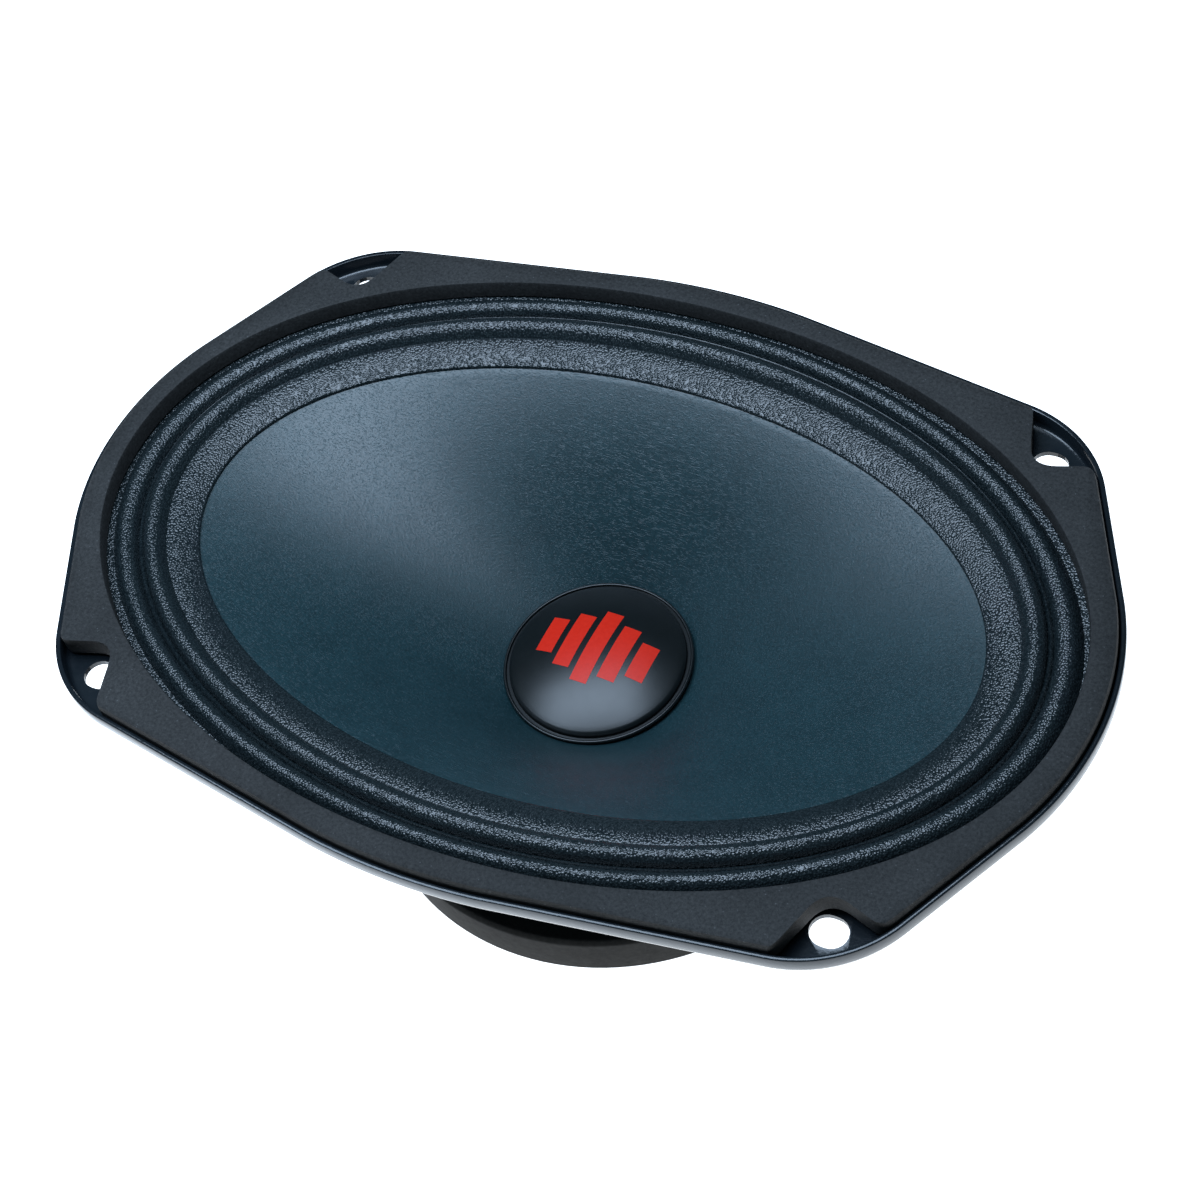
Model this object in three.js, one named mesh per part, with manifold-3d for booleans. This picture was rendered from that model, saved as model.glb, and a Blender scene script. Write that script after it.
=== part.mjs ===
// A six by nine inch oval car loudspeaker, standing on its magnet with the cone facing up.
// Millimetres, +Z up. The origin is the centre of the back plate's underside, +X runs along the long axis
// of the oval, +Y along the short one, and the loudspeaker's own axis is +Z.

import * as THREE from 'three';
import { mergeVertices } from 'three/addons/utils/BufferGeometryUtils.js';
import Module from 'manifold-3d';

const wasm = await Module();
wasm.setup();

// ---------------------------------------------------------------- driving dimensions

const CLEARANCE = 0.3;            // gap left wherever two pieces touch, glue lines included

// Steps round an oval ring and round a turned piece.
const OVAL_STEPS = 56;
const ROUND_STEPS = 40;
const SMALL_STEPS = 12;

// Flange outline: long side, end and corner arcs, joined by straight flanks.
const HALF_LENGTH = 117.5;
const HALF_WIDTH = 80;
const SIDE_RADIUS = 150.6;
const END_RADIUS = 64.5;
const CORNER_RADIUS = 29.5;
const CORNER_X = 71.7;
const CORNER_Y = 40.75;

// Screw holes in the flange corners, slotted along the long axis.
const HOLE_X = 84.4;
const HOLE_Y = 58.6;
const HOLE_WIDTH = 6.8;
const HOLE_LENGTH = 7.8;

// Levels up the axis.
const BACK_PLATE_TOP = 5.3;
const MAGNET_TOP = 17.8;
const TOP_PLATE_TOP = 23.1;
const SHEET = 1.2;                // thickness of the basket's pressed steel
const BASKET_FLOOR = TOP_PLATE_TOP + CLEARANCE;
const SPIDER_LEDGE = 31;
const FLANGE_TOP = 74.2;
const RIM_TOP = 78;
const GASKET_TOP = 79.9;
const SURROUND_BASE = 75;
const CONE_EDGE_Z = 71.8;
const CONE_NECK_Z = 38;

// Motor.
const BACK_PLATE_RADIUS = 53;
const MAGNET_RADIUS = 58.6;
const MAGNET_BORE = 27;
const TOP_PLATE_RADIUS = 52.5;
const GAP_OUTER_RADIUS = 20.7;
const POLE_RADIUS = 18.5;
const VENT_RADIUS = 5;
const SCREEN_RADIUS = 6.4;
const RIVET_CIRCLE = 35;
const RIVET_SHANK = 1.8;

// Voice coil, 38 mm across.
const FORMER_INNER = 19.0;
const FORMER_OUTER = 19.15;
const WRAP_INNER = 19.35;
const WRAP_OUTER = 19.55;
const WINDING_OUTER = 20.05;
const FORMER_BOTTOM = 13;
const FORMER_TOP = 37.4;
const WINDING_BOTTOM = 13.6;
const WINDING_TOP = 27.6;

// Ovals of the moving parts: half-length, half-width.
const VALLEY = [103.2, 66.9];
const OUTER_FOOT = [109.9, 72.2];
const INNER_FOOT = [97.4, 61.0];
const CONE_EDGE = [90.3, 54.2];
const CONE_RIM = [97.2, 60.6];
const CONE_NECK_RADIUS = 20.2;
const ROLL_HEIGHT = 2.4;
const CLOTH = 0.5;
const PAPER = 0.9;

// Gasket opening, a slightly squared oval.
const OPENING = [110.6, 72.8];
const OPENING_POWER = 2.06;

// Gasket notch round each screw hole, in the +X +Y corner: where its two flanks meet the gasket's outer edge
// and each other, with how much of the corner is rounded off.
const NOTCH_SIDE_TIP = [77.4, 68.1, 1.9];
const NOTCH_INSIDE = [82.1, 52.8, 5.7];
const NOTCH_END_TIP = [94.6, 56.8, 2.1];

// Dust cap: a dome inside a narrow groove and a flat rim.
const CAP_RADIUS = 21.5;
const CAP_RIM_WIDTH = 0.6;
const CAP_RIM_Z = 40.6;
const CAP_FOOT_Z = 40;
const DOME_RADIUS = 20;
const DOME_EDGE_Z = 41.3;
const DOME_TOP_Z = 45.4;

// Spider: the corrugated cloth disc that centres the coil.
const SPIDER_INNER = 19.85;
const SPIDER_OUTER = 48.6;
const SPIDER_Z = 32;
const SPIDER_WAVES = 4;
const SPIDER_WAVE_HEIGHT = 1.1;

// Terminal board, on the basket arm that faces +Y.
const BOARD_WIDTH = 36;
const BOARD_HEIGHT = 13;
const BOARD_THICKNESS = 1.6;
const BOARD_CENTRE = [0, 62.7, 48.5];
const BOARD_TILT = 0.427;         // radians, leaning outwards with the arm
const BOARD_RIVETS = [-5, 5];
const BOARD_RIVET_SHANK = 1.3;
const TAB_X = 14.5;
const TAB_THICKNESS = 0.8;
const BLADE_WIDTHS = { positive: 6.3, negative: 4.8 };
const LEAD_RADIUS = 0.8;

// ---------------------------------------------------------------- finishes

const finish = (color, roughness, metalness) => new THREE.MeshStandardMaterial({ color, roughness, metalness });

const finishes = {
  blackPaint: finish(0x15171a, 0.35, 0.4),
  fibre: finish(0x383c42, 0.85, 0),
  cloth: finish(0x1c2126, 0.7, 0),
  bluePaper: finish(0x21404c, 0.75, 0),
  blackPlastic: finish(0x121316, 0.25, 0),
  glassCloth: finish(0x8a7440, 0.5, 0),
  brownPaper: finish(0x6b4a2b, 0.85, 0),
  copper: finish(0xb06a3a, 0.35, 0.9),
  yellowCloth: finish(0xb08a4a, 0.9, 0),
  zincSteel: finish(0x9aa0a4, 0.4, 0.9),
  ferrite: finish(0x3a3b3d, 0.6, 0.1),
  board: finish(0x2a1d14, 0.7, 0),
  tinnedBrass: finish(0xc0b48a, 0.3, 1),
  braid: finish(0xa88a6a, 0.6, 0.5),
  solder: finish(0xb8babc, 0.3, 0.9),
};

// ---------------------------------------------------------------- shape helpers

const model = new THREE.Group();

function add(name, geometry, material, parent = model) {
  const mesh = new THREE.Mesh(geometry, material);
  mesh.name = name;
  parent.add(mesh);
  return mesh;
}

// The angles of the outward normals at which every oval ring is sampled, so that rings match up.
const normalAngles = Array.from({ length: OVAL_STEPS }, (_, i) => (i * 2 * Math.PI) / OVAL_STEPS);

// Point of an oval whose outward normal has the given angle. A power of 2 is an ellipse.
function ovalPoint(halfLength, halfWidth, angle, power = 2) {
  const c = Math.abs(Math.cos(angle));
  const s = Math.abs(Math.sin(angle));
  const x = (c * halfLength ** power) ** (1 / (power - 1));
  const y = (s * halfWidth ** power) ** (1 / (power - 1));
  const scale = ((x / halfLength) ** power + (y / halfWidth) ** power) ** (-1 / power);
  return [Math.sign(Math.cos(angle)) * x * scale, Math.sign(Math.sin(angle)) * y * scale];
}

function ovalRing([halfLength, halfWidth], z, power = 2) {
  return normalAngles.map((angle) => new THREE.Vector3(...ovalPoint(halfLength, halfWidth, angle, power), z));
}

// Normal angle at which the outline passes from one arc to the next, along their common tangent.
function tangentAngle(fromX, fromY, fromRadius, toX, toY, toRadius, sense) {
  const dx = fromX - toX;
  const dy = fromY - toY;
  return Math.atan2(dy, dx) + sense * Math.acos((toRadius - fromRadius) / Math.hypot(dx, dy));
}

const END_X = HALF_LENGTH - END_RADIUS;
const SIDE_Y = HALF_WIDTH - SIDE_RADIUS;
const endToCorner = tangentAngle(END_X, 0, END_RADIUS, CORNER_X, CORNER_Y, CORNER_RADIUS, 1);
const cornerToSide = tangentAngle(CORNER_X, CORNER_Y, CORNER_RADIUS, 0, SIDE_Y, SIDE_RADIUS, 1);

// Point of the flange outline, moved inwards by inset, for one outward normal.
function outlinePoint(angle, inset) {
  const folded = Math.atan2(Math.abs(Math.sin(angle)), Math.abs(Math.cos(angle)));
  let arc = [CORNER_X, CORNER_Y, CORNER_RADIUS];
  if (folded < endToCorner) arc = [END_X, 0, END_RADIUS];
  if (folded > cornerToSide) arc = [0, SIDE_Y, SIDE_RADIUS];
  const x = arc[0] + (arc[2] - inset) * Math.cos(folded);
  const y = arc[1] + (arc[2] - inset) * Math.sin(folded);
  return [Math.sign(Math.cos(angle)) * x, Math.sign(Math.sin(angle)) * y];
}

function outlineRing(inset, z) {
  return normalAngles.map((angle) => new THREE.Vector3(...outlinePoint(angle, inset), z));
}

const signedVolume = (position, index) => {
  const [a, b, c] = [new THREE.Vector3(), new THREE.Vector3(), new THREE.Vector3()];
  let sum = 0;
  for (let i = 0; i < index.length; i += 3) {
    a.fromArray(position, index[i] * 3);
    b.fromArray(position, index[i + 1] * 3);
    c.fromArray(position, index[i + 2] * 3);
    sum += a.dot(b.cross(c));
  }
  return sum;
};

// A ring-shaped solid: its section is a closed loop, given as one ring of points for each corner.
function ringSolid(rings) {
  const steps = rings[0].length;
  const position = rings.flat().flatMap((point) => point.toArray());
  const index = [];
  for (let r = 0; r < rings.length; r++) {
    const next = (r + 1) % rings.length;
    for (let i = 0; i < steps; i++) {
      const j = (i + 1) % steps;
      const [a, b, c, d] = [r * steps + i, r * steps + j, next * steps + j, next * steps + i];
      index.push(a, b, c, a, c, d);
    }
  }
  if (signedVolume(position, index) < 0) index.reverse();
  const geometry = new THREE.BufferGeometry();
  geometry.setAttribute('position', new THREE.Float32BufferAttribute(position, 3));
  geometry.setIndex(index);
  return geometry;
}

// A turned piece about +Z from [radius, height] points that close on themselves or end on the axis.
function turned(profile, steps = ROUND_STEPS) {
  const points = profile.map(([radius, height]) => new THREE.Vector2(radius, height));
  const onAxis = profile[0][0] === 0 && profile[profile.length - 1][0] === 0;
  if (!onAxis) points.push(points[0].clone());
  const geometry = new THREE.LatheGeometry(points, steps);
  geometry.rotateX(Math.PI / 2);
  return solidGeometry(toSolid(geometry));
}

function tube(inner, outer, bottom, top, steps = ROUND_STEPS) {
  return turned([[inner, bottom], [outer, bottom], [outer, top], [inner, top]], steps);
}

// Geometry to a solid for joining and cutting, and back.
function toSolid(geometry) {
  const bare = geometry.clone();
  bare.deleteAttribute('normal');
  bare.deleteAttribute('uv');
  const merged = mergeVertices(bare, 1e-5);
  const vertProperties = Float32Array.from(merged.attributes.position.array);
  const triVerts = [];
  const source = merged.index.array;
  for (let i = 0; i < source.length; i += 3) {
    const [a, b, c] = [source[i], source[i + 1], source[i + 2]];
    if (a !== b && b !== c && c !== a) triVerts.push(a, b, c);
  }
  if (signedVolume(vertProperties, triVerts) < 0) triVerts.reverse();
  return new wasm.Manifold(new wasm.Mesh({ numProp: 3, vertProperties, triVerts: Uint32Array.from(triVerts) }));
}

function solidGeometry(solid) {
  const mesh = solid.getMesh();
  const geometry = new THREE.BufferGeometry();
  geometry.setAttribute('position', new THREE.BufferAttribute(Float32Array.from(mesh.vertProperties), 3));
  geometry.setIndex(Array.from(mesh.triVerts));
  return geometry;
}

function cut(geometry, tools) {
  const body = toSolid(geometry);
  return solidGeometry(tools.reduce((left, tool) => left.subtract(toSolid(tool)), body));
}

function slab(shape, depth, curveSegments = 6) {
  return new THREE.ExtrudeGeometry(shape, { depth, bevelEnabled: false, curveSegments });
}

// A slot with round ends along X, centred on the origin.
function slotShape(length, width) {
  const r = width / 2;
  const run = length / 2 - r;
  const shape = new THREE.Shape();
  shape.absarc(run, 0, r, -Math.PI / 2, Math.PI / 2);
  shape.absarc(-run, 0, r, Math.PI / 2, (3 * Math.PI) / 2);
  shape.closePath();
  return shape;
}

function pin(radius, bottom, top, x, y, steps = SMALL_STEPS) {
  const geometry = new THREE.CylinderGeometry(radius, radius, top - bottom, steps);
  geometry.rotateX(Math.PI / 2);
  geometry.translate(x, y, (bottom + top) / 2);
  return geometry;
}

const corners = [[1, 1], [-1, 1], [-1, -1], [1, -1]];
const rivetSpots = [45, 135, 225, 315].map((degrees) => {
  const angle = THREE.MathUtils.degToRad(degrees);
  return [RIVET_CIRCLE * Math.cos(angle), RIVET_CIRCLE * Math.sin(angle)];
});

// ---------------------------------------------------------------- terminal board placing

// The board group: X along the board, Y up the arm and Z away from the basket.
const boardGroup = new THREE.Group();
boardGroup.position.set(...BOARD_CENTRE);
boardGroup.setRotationFromMatrix(new THREE.Matrix4().makeBasis(
  new THREE.Vector3(-1, 0, 0),
  new THREE.Vector3(0, Math.sin(BOARD_TILT), Math.cos(BOARD_TILT)),
  new THREE.Vector3(0, Math.cos(BOARD_TILT), -Math.sin(BOARD_TILT)),
));
boardGroup.updateMatrix();
model.add(boardGroup);

// ---------------------------------------------------------------- basket

// Half-length, half-width and level of the inner face of the basket wall, from the ledge to the flange.
const wallStations = [
  [51.4, 51.4, 32],
  [56, 53, 34.2],
  [72, 58, 42.5],
  [89, 63, 53.5],
  [99.5, 66.3, 62.5],
  [104.4, 68.4, 70],
];
const WALL_SHIFT = [0.8, 1.0, -0.9];   // from the wall's inner face to its outer face

function basketSheet() {
  const circle = (radius, z) => ovalRing([radius, radius], z);
  const floorTop = BASKET_FLOOR + SHEET;
  const inner = [
    circle(24.5, floorTop),
    circle(40, floorTop),
    circle(42, SPIDER_LEDGE - 0.8),
    circle(43, SPIDER_LEDGE),
    circle(49.8, SPIDER_LEDGE),
    ...wallStations.map(([a, b, z]) => ovalRing([a, b], z)),
    ovalRing([105.4, 69.2], FLANGE_TOP - 1),
    ovalRing([107, 70.6], FLANGE_TOP),
    outlineRing(2.6, FLANGE_TOP),
    outlineRing(SHEET, FLANGE_TOP + 1.4),
    outlineRing(SHEET, RIM_TOP - 0.3),
    outlineRing(0.9, RIM_TOP),
  ];
  const outer = [
    outlineRing(0.3, RIM_TOP),
    outlineRing(0, RIM_TOP - 0.3),
    outlineRing(0, FLANGE_TOP + 0.6),
    outlineRing(1.8, FLANGE_TOP - SHEET),
    ovalRing([108.4, 71.9], FLANGE_TOP - SHEET),
    ovalRing([106.8, 70.7], FLANGE_TOP - SHEET - 1),
    ...wallStations.map(([a, b, z]) => ovalRing([a + WALL_SHIFT[0], b + WALL_SHIFT[1]], z + WALL_SHIFT[2])).reverse(),
    circle(50.6, SPIDER_LEDGE - SHEET),
    circle(43.9, SPIDER_LEDGE - SHEET),
    circle(43.3, SPIDER_LEDGE - SHEET - 0.8),
    circle(41.2, BASKET_FLOOR),
    circle(24.5, BASKET_FLOOR),
  ];
  return ringSolid([...inner, ...outer]);
}

// Rounded window in the basket wall, cut outwards along one direction in plan.
function windowTool(degrees, bottomWidth, topWidth, bottom, top) {
  const r = 5;
  const shape = new THREE.Shape();
  const half = (z) => THREE.MathUtils.mapLinear(z, bottom, top, bottomWidth, topWidth) / 2;
  shape.moveTo(-half(bottom) + r, bottom);
  shape.lineTo(half(bottom) - r, bottom);
  shape.quadraticCurveTo(half(bottom), bottom, half(bottom + r), bottom + r);
  shape.lineTo(half(top - r), top - r);
  shape.quadraticCurveTo(half(top), top, half(top) - r, top);
  shape.lineTo(-half(top) + r, top);
  shape.quadraticCurveTo(-half(top), top, -half(top - r), top - r);
  shape.lineTo(-half(bottom + r), bottom + r);
  shape.quadraticCurveTo(-half(bottom), bottom, -half(bottom) + r, bottom);
  const tool = slab(shape, 90, 3);
  tool.translate(0, 0, 40);
  // Shape X becomes the tangent, shape Y the height, and the depth runs outwards.
  tool.rotateX(Math.PI / 2);
  tool.rotateZ(Math.PI);
  tool.rotateZ(THREE.MathUtils.degToRad(degrees - 90));
  return tool;
}

function basket() {
  const tools = [];
  for (const degrees of [0, 180]) tools.push(windowTool(degrees, 42, 62, 36.5, 65));
  for (const degrees of [58, 122, 238, 302]) tools.push(windowTool(degrees, 38, 54, 37.5, 65));
  for (const [sx, sy] of corners) {
    const slot = slab(slotShape(HOLE_LENGTH, HOLE_WIDTH), 6);
    slot.translate(sx * HOLE_X, sy * HOLE_Y, FLANGE_TOP - 4);
    tools.push(slot);
  }
  for (const [x, y] of rivetSpots) tools.push(pin(RIVET_SHANK + 0.2, BASKET_FLOOR - 1, BASKET_FLOOR + 4, x, y));
  for (const x of BOARD_RIVETS) {
    const hole = pin(BOARD_RIVET_SHANK + CLEARANCE, -5, 2, x, 0, 12);
    tools.push(hole.applyMatrix4(boardGroup.matrix));
  }
  return cut(basketSheet(), tools);
}

// ---------------------------------------------------------------- front gasket

// Cutter for one notch. Past each tip it leaves along the gasket's edge, so that the tip comes out rounded.
function notchTool(sx, sy) {
  const corner = ([x, y, reach]) => ({ at: new THREE.Vector2(x, y), reach });
  const path = [
    corner([65, 74, 0]),
    corner(NOTCH_SIDE_TIP),
    corner(NOTCH_INSIDE),
    corner(NOTCH_END_TIP),
    corner([101, 46, 0]),
  ];
  const shape = new THREE.Shape();
  shape.moveTo(path[0].at.x, path[0].at.y);
  for (let i = 1; i < path.length - 1; i++) {
    const { at, reach } = path[i];
    const towards = (other) => other.at.clone().sub(at).setLength(reach).add(at);
    const start = towards(path[i - 1]);
    const end = towards(path[i + 1]);
    shape.lineTo(start.x, start.y);
    shape.quadraticCurveTo(at.x, at.y, end.x, end.y);
  }
  shape.lineTo(path[4].at.x, path[4].at.y);
  shape.lineTo(110, 46);
  shape.lineTo(110, 84);
  shape.lineTo(65, 84);
  shape.closePath();
  const tool = slab(shape, 12, 5);
  tool.translate(0, 0, SURROUND_BASE - 3);
  tool.rotateX(sy < 0 ? Math.PI : 0);
  tool.translate(0, 0, sy < 0 ? 2 * (SURROUND_BASE + 3) : 0);
  tool.rotateY(sx < 0 ? Math.PI : 0);
  tool.translate(0, 0, sx < 0 ? 2 * (SURROUND_BASE + 3) : 0);
  return tool;
}

function gasket() {
  const bottom = SURROUND_BASE + CLEARANCE;
  const edge = 0.6;
  const outerInset = SHEET + CLEARANCE + 0.1;
  const ring = ringSolid([
    ovalRing([OPENING[0] + 0.1, OPENING[1] + 0.1], bottom, OPENING_POWER),
    ovalRing([OPENING[0], OPENING[1]], GASKET_TOP - edge, OPENING_POWER),
    ovalRing([OPENING[0] + edge, OPENING[1] + edge], GASKET_TOP, OPENING_POWER),
    outlineRing(outerInset + edge, GASKET_TOP),
    outlineRing(outerInset, GASKET_TOP - edge),
    outlineRing(outerInset, bottom + 1),
    outlineRing(outerInset + 1, bottom),
  ]);
  return cut(ring, corners.map(([sx, sy]) => notchTool(sx, sy)));
}

// ---------------------------------------------------------------- surround, cone and dust cap

// Ovals and levels of one half roll, from its start foot to its end foot, both left out.
function rollStations(start, end, base) {
  const stations = [];
  for (let i = 1; i < 5; i++) {
    const t = i / 5;
    const lift = 4 * t * (1 - t) * ROLL_HEIGHT;
    stations.push([start[0] + (end[0] - start[0]) * t, start[1] + (end[1] - start[1]) * t, base + lift]);
  }
  return stations;
}

function surround() {
  const lip = [113.9, 75.3];
  const stations = [
    [...lip, SURROUND_BASE],
    [...OUTER_FOOT, SURROUND_BASE],
    ...rollStations(OUTER_FOOT, VALLEY, SURROUND_BASE),
    [...VALLEY, SURROUND_BASE],
    ...rollStations(VALLEY, INNER_FOOT, SURROUND_BASE),
    [...INNER_FOOT, SURROUND_BASE],
    [...CONE_EDGE, CONE_EDGE_Z + CLEARANCE + CLOTH],
  ];
  const front = stations.map(([a, b, z]) => ovalRing([a, b], z));
  const back = stations.map(([a, b, z]) => ovalRing([a, b], z - CLOTH)).reverse();
  return ringSolid([...front, ...back]);
}

function cone() {
  const front = [];
  const steps = 6;
  for (let i = 0; i <= steps; i++) {
    const t = i / steps;
    const a = THREE.MathUtils.lerp(CONE_NECK_RADIUS, CONE_EDGE[0], t);
    const b = THREE.MathUtils.lerp(CONE_NECK_RADIUS, CONE_EDGE[1], t);
    const flare = 1.28 * t - 0.28 * t * t;
    front.push([a, b, CONE_NECK_Z + (CONE_EDGE_Z - CONE_NECK_Z) * flare]);
  }
  front.push([...CONE_RIM, SURROUND_BASE - CLOTH - CLEARANCE - 0.3]);
  const neckInner = WRAP_OUTER + CLEARANCE;
  const neckBottom = CONE_NECK_Z - 2.2;
  const rings = [
    ovalRing([neckInner, neckInner], CONE_NECK_Z - 0.4),
    ...front.map(([a, b, z]) => ovalRing([a, b], z)),
    ...front.slice(1).map(([a, b, z]) => ovalRing([a, b], z - PAPER)).reverse(),
    ovalRing([neckInner + 0.9, neckInner + 0.9], CONE_NECK_Z - 0.9),
    ovalRing([neckInner + 0.7, neckInner + 0.7], neckBottom),
    ovalRing([neckInner, neckInner], neckBottom),
  ];
  return ringSolid(rings);
}

function dustCap() {
  const skin = 0.8;
  const domePoint = (share, drop) => [
    DOME_RADIUS * share,
    DOME_TOP_Z - (DOME_TOP_Z - DOME_EDGE_Z) * share ** 2 - drop,
  ];
  const groove = DOME_RADIUS + 0.5;
  const rim = CAP_RADIUS - CAP_RIM_WIDTH;
  return turned([
    ...[0, 0.25, 0.5, 0.75, 0.9, 1].map((share) => domePoint(share, 0)),
    [groove, DOME_EDGE_Z - 0.8],
    [groove, CAP_FOOT_Z + 0.3],
    [rim, CAP_FOOT_Z + 0.3],
    [rim, CAP_RIM_Z],
    [CAP_RADIUS, CAP_RIM_Z],
    [CAP_RADIUS, CAP_FOOT_Z],
    [DOME_RADIUS - 0.4, CAP_FOOT_Z],
    ...[0.95, 0.75, 0.5, 0.25, 0].map((share) => domePoint(share, skin)),
  ]);
}

// ---------------------------------------------------------------- spider

function spider() {
  const flatInner = SPIDER_INNER + 2;
  const flatOuter = SPIDER_OUTER - 5;
  const ledge = SPIDER_LEDGE + CLEARANCE + CLOTH;
  const front = [[SPIDER_INNER, SPIDER_Z]];
  const steps = SPIDER_WAVES * 2;
  for (let i = 0; i <= steps; i++) {
    const t = i / steps;
    const wave = i === 0 || i === steps ? 0 : (i % 2 ? SPIDER_WAVE_HEIGHT : -SPIDER_WAVE_HEIGHT * 0.2);
    front.push([THREE.MathUtils.lerp(flatInner, flatOuter, t), THREE.MathUtils.lerp(SPIDER_Z, ledge, t) + wave]);
  }
  front.push([SPIDER_OUTER, ledge]);
  const back = front.map(([r, z]) => [r, z - CLOTH]).reverse();
  return turned([...front, ...back]);
}

// ---------------------------------------------------------------- motor

function yoke() {
  return turned([
    [SCREEN_RADIUS + 0.4, 0], [BACK_PLATE_RADIUS - 3, 0], [BACK_PLATE_RADIUS, 2],
    [BACK_PLATE_RADIUS, BACK_PLATE_TOP - 0.6], [BACK_PLATE_RADIUS - 0.6, BACK_PLATE_TOP],
    [POLE_RADIUS, BACK_PLATE_TOP], [POLE_RADIUS, TOP_PLATE_TOP - 0.5], [POLE_RADIUS - 0.5, TOP_PLATE_TOP],
    [VENT_RADIUS, TOP_PLATE_TOP], [VENT_RADIUS, 1.4], [SCREEN_RADIUS + 0.4, 1.4],
  ]);
}

function magnet() {
  const bottom = BACK_PLATE_TOP + CLEARANCE;
  const chamfer = 1;
  return turned([
    [MAGNET_BORE, bottom], [MAGNET_RADIUS - chamfer, bottom], [MAGNET_RADIUS, bottom + chamfer],
    [MAGNET_RADIUS, MAGNET_TOP - chamfer], [MAGNET_RADIUS - chamfer, MAGNET_TOP], [MAGNET_BORE, MAGNET_TOP],
  ]);
}

function topPlate() {
  const bottom = MAGNET_TOP + CLEARANCE;
  const disc = turned([
    [GAP_OUTER_RADIUS, bottom], [TOP_PLATE_RADIUS, bottom], [TOP_PLATE_RADIUS, TOP_PLATE_TOP - 0.8],
    [TOP_PLATE_RADIUS - 0.8, TOP_PLATE_TOP], [GAP_OUTER_RADIUS, TOP_PLATE_TOP],
  ]);
  return cut(disc, rivetSpots.map(([x, y]) => pin(RIVET_SHANK + 0.2, bottom - 1, TOP_PLATE_TOP + 1, x, y)));
}

function plateRivet(x, y) {
  const seat = BASKET_FLOOR + SHEET + CLEARANCE;
  const geometry = turned([
    [0, MAGNET_TOP + CLEARANCE], [RIVET_SHANK, MAGNET_TOP + CLEARANCE], [RIVET_SHANK, seat],
    [3.4, seat], [3.2, seat + 0.9], [1.8, seat + 1.6], [0, seat + 1.8],
  ], SMALL_STEPS);
  geometry.translate(x, y, 0);
  return geometry;
}

// ---------------------------------------------------------------- terminals and leads

const tabs = {
  positive: { side: 1, width: BLADE_WIDTHS.positive },
  negative: { side: -1, width: BLADE_WIDTHS.negative },
};

function terminalBoard() {
  const half = BOARD_WIDTH / 2;
  const r = 2;
  const shape = new THREE.Shape();
  shape.moveTo(-half + r, -BOARD_HEIGHT / 2);
  shape.lineTo(half - r, -BOARD_HEIGHT / 2);
  shape.lineTo(half, -BOARD_HEIGHT / 2 + r);
  shape.lineTo(half, BOARD_HEIGHT / 2 - r);
  shape.lineTo(half - r, BOARD_HEIGHT / 2);
  shape.lineTo(-half + r, BOARD_HEIGHT / 2);
  shape.lineTo(-half, BOARD_HEIGHT / 2 - r);
  shape.lineTo(-half, -BOARD_HEIGHT / 2 + r);
  const board = slab(shape, BOARD_THICKNESS);
  const tools = [];
  for (const { side, width } of Object.values(tabs)) {
    const slot = new THREE.BoxGeometry(TAB_THICKNESS + 0.6, width + 0.6, 6);
    slot.translate(-side * TAB_X, 0, BOARD_THICKNESS / 2);
    tools.push(slot);
  }
  for (const x of BOARD_RIVETS) tools.push(pin(BOARD_RIVET_SHANK + CLEARANCE, -1, BOARD_THICKNESS + 1, x, 0, 12));
  return cut(board, tools);
}

// A flat tab through the board: a push-on blade outside and a solder lug with an eye inside.
function terminalTab(width) {
  const shape = new THREE.Shape();
  const half = width / 2;
  shape.moveTo(-6, -1.8);
  shape.lineTo(-1.2, -1.8);
  shape.lineTo(-1.2, -half);
  shape.lineTo(8.5, -half);
  shape.lineTo(9.8, -half + 1.2);
  shape.lineTo(9.8, half - 1.2);
  shape.lineTo(8.5, half);
  shape.lineTo(-1.2, half);
  shape.lineTo(-1.2, 1.8);
  shape.lineTo(-6, 1.8);
  const hole = new THREE.Path();
  hole.absarc(6.4, 0, 0.8, 0, Math.PI * 2, true);
  const eye = new THREE.Path();
  eye.absarc(-4.4, 0, 0.7, 0, Math.PI * 2, true);
  shape.holes.push(hole, eye);
  const tab = slab(shape, TAB_THICKNESS, 4);
  tab.translate(0, 0, -TAB_THICKNESS / 2);
  tab.rotateY(-Math.PI / 2);
  return tab;
}

function boardRivet(x) {
  const tail = -2.5;
  const seat = BOARD_THICKNESS + CLEARANCE;
  const geometry = turned([
    [0, tail], [BOARD_RIVET_SHANK, tail], [BOARD_RIVET_SHANK, seat],
    [2.5, seat], [2.2, seat + 0.7], [0, seat + 0.9],
  ], 12);
  geometry.translate(x, 0, 0);
  return geometry;
}

// Braided lead from the solder lug, through the basket window, to the pad on the coil's paper wrap.
function tinselLead(side) {
  const route = [
    [side * 14.5, 57.6, 50.6],
    [side * 14.5, 54.6, 50.2],
    [side * 14.3, 49.0, 46.6],
    [side * 13.9, 42.0, 42.0],
    [side * 13.4, 34.5, 38.8],
    [side * 12.8, 28.0, 36.9],
    [side * 12.0, 22.6, 35.3],
    [side * 10.9, 18.9, 34.4],
  ];
  const path = new THREE.CatmullRomCurve3(route.map((point) => new THREE.Vector3(...point)));
  const section = new THREE.Shape();
  section.absarc(0, 0, LEAD_RADIUS, 0, Math.PI * 2);
  return new THREE.ExtrudeGeometry(section, { steps: 18, curveSegments: 4, bevelEnabled: false, extrudePath: path });
}

// Solder pad on the paper wrap, where a braided lead meets the coil wire.
function solderPad(side) {
  const pad = new THREE.BoxGeometry(3, 1, 2.2);
  const angle = side > 0 ? Math.PI / 3 : (2 * Math.PI) / 3;
  pad.translate(0, WRAP_OUTER + CLEARANCE + 0.55, 0);
  pad.rotateZ(angle - Math.PI / 2);
  pad.translate(0, 0, 34.4);
  return pad;
}

// ---------------------------------------------------------------- assembly

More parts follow.
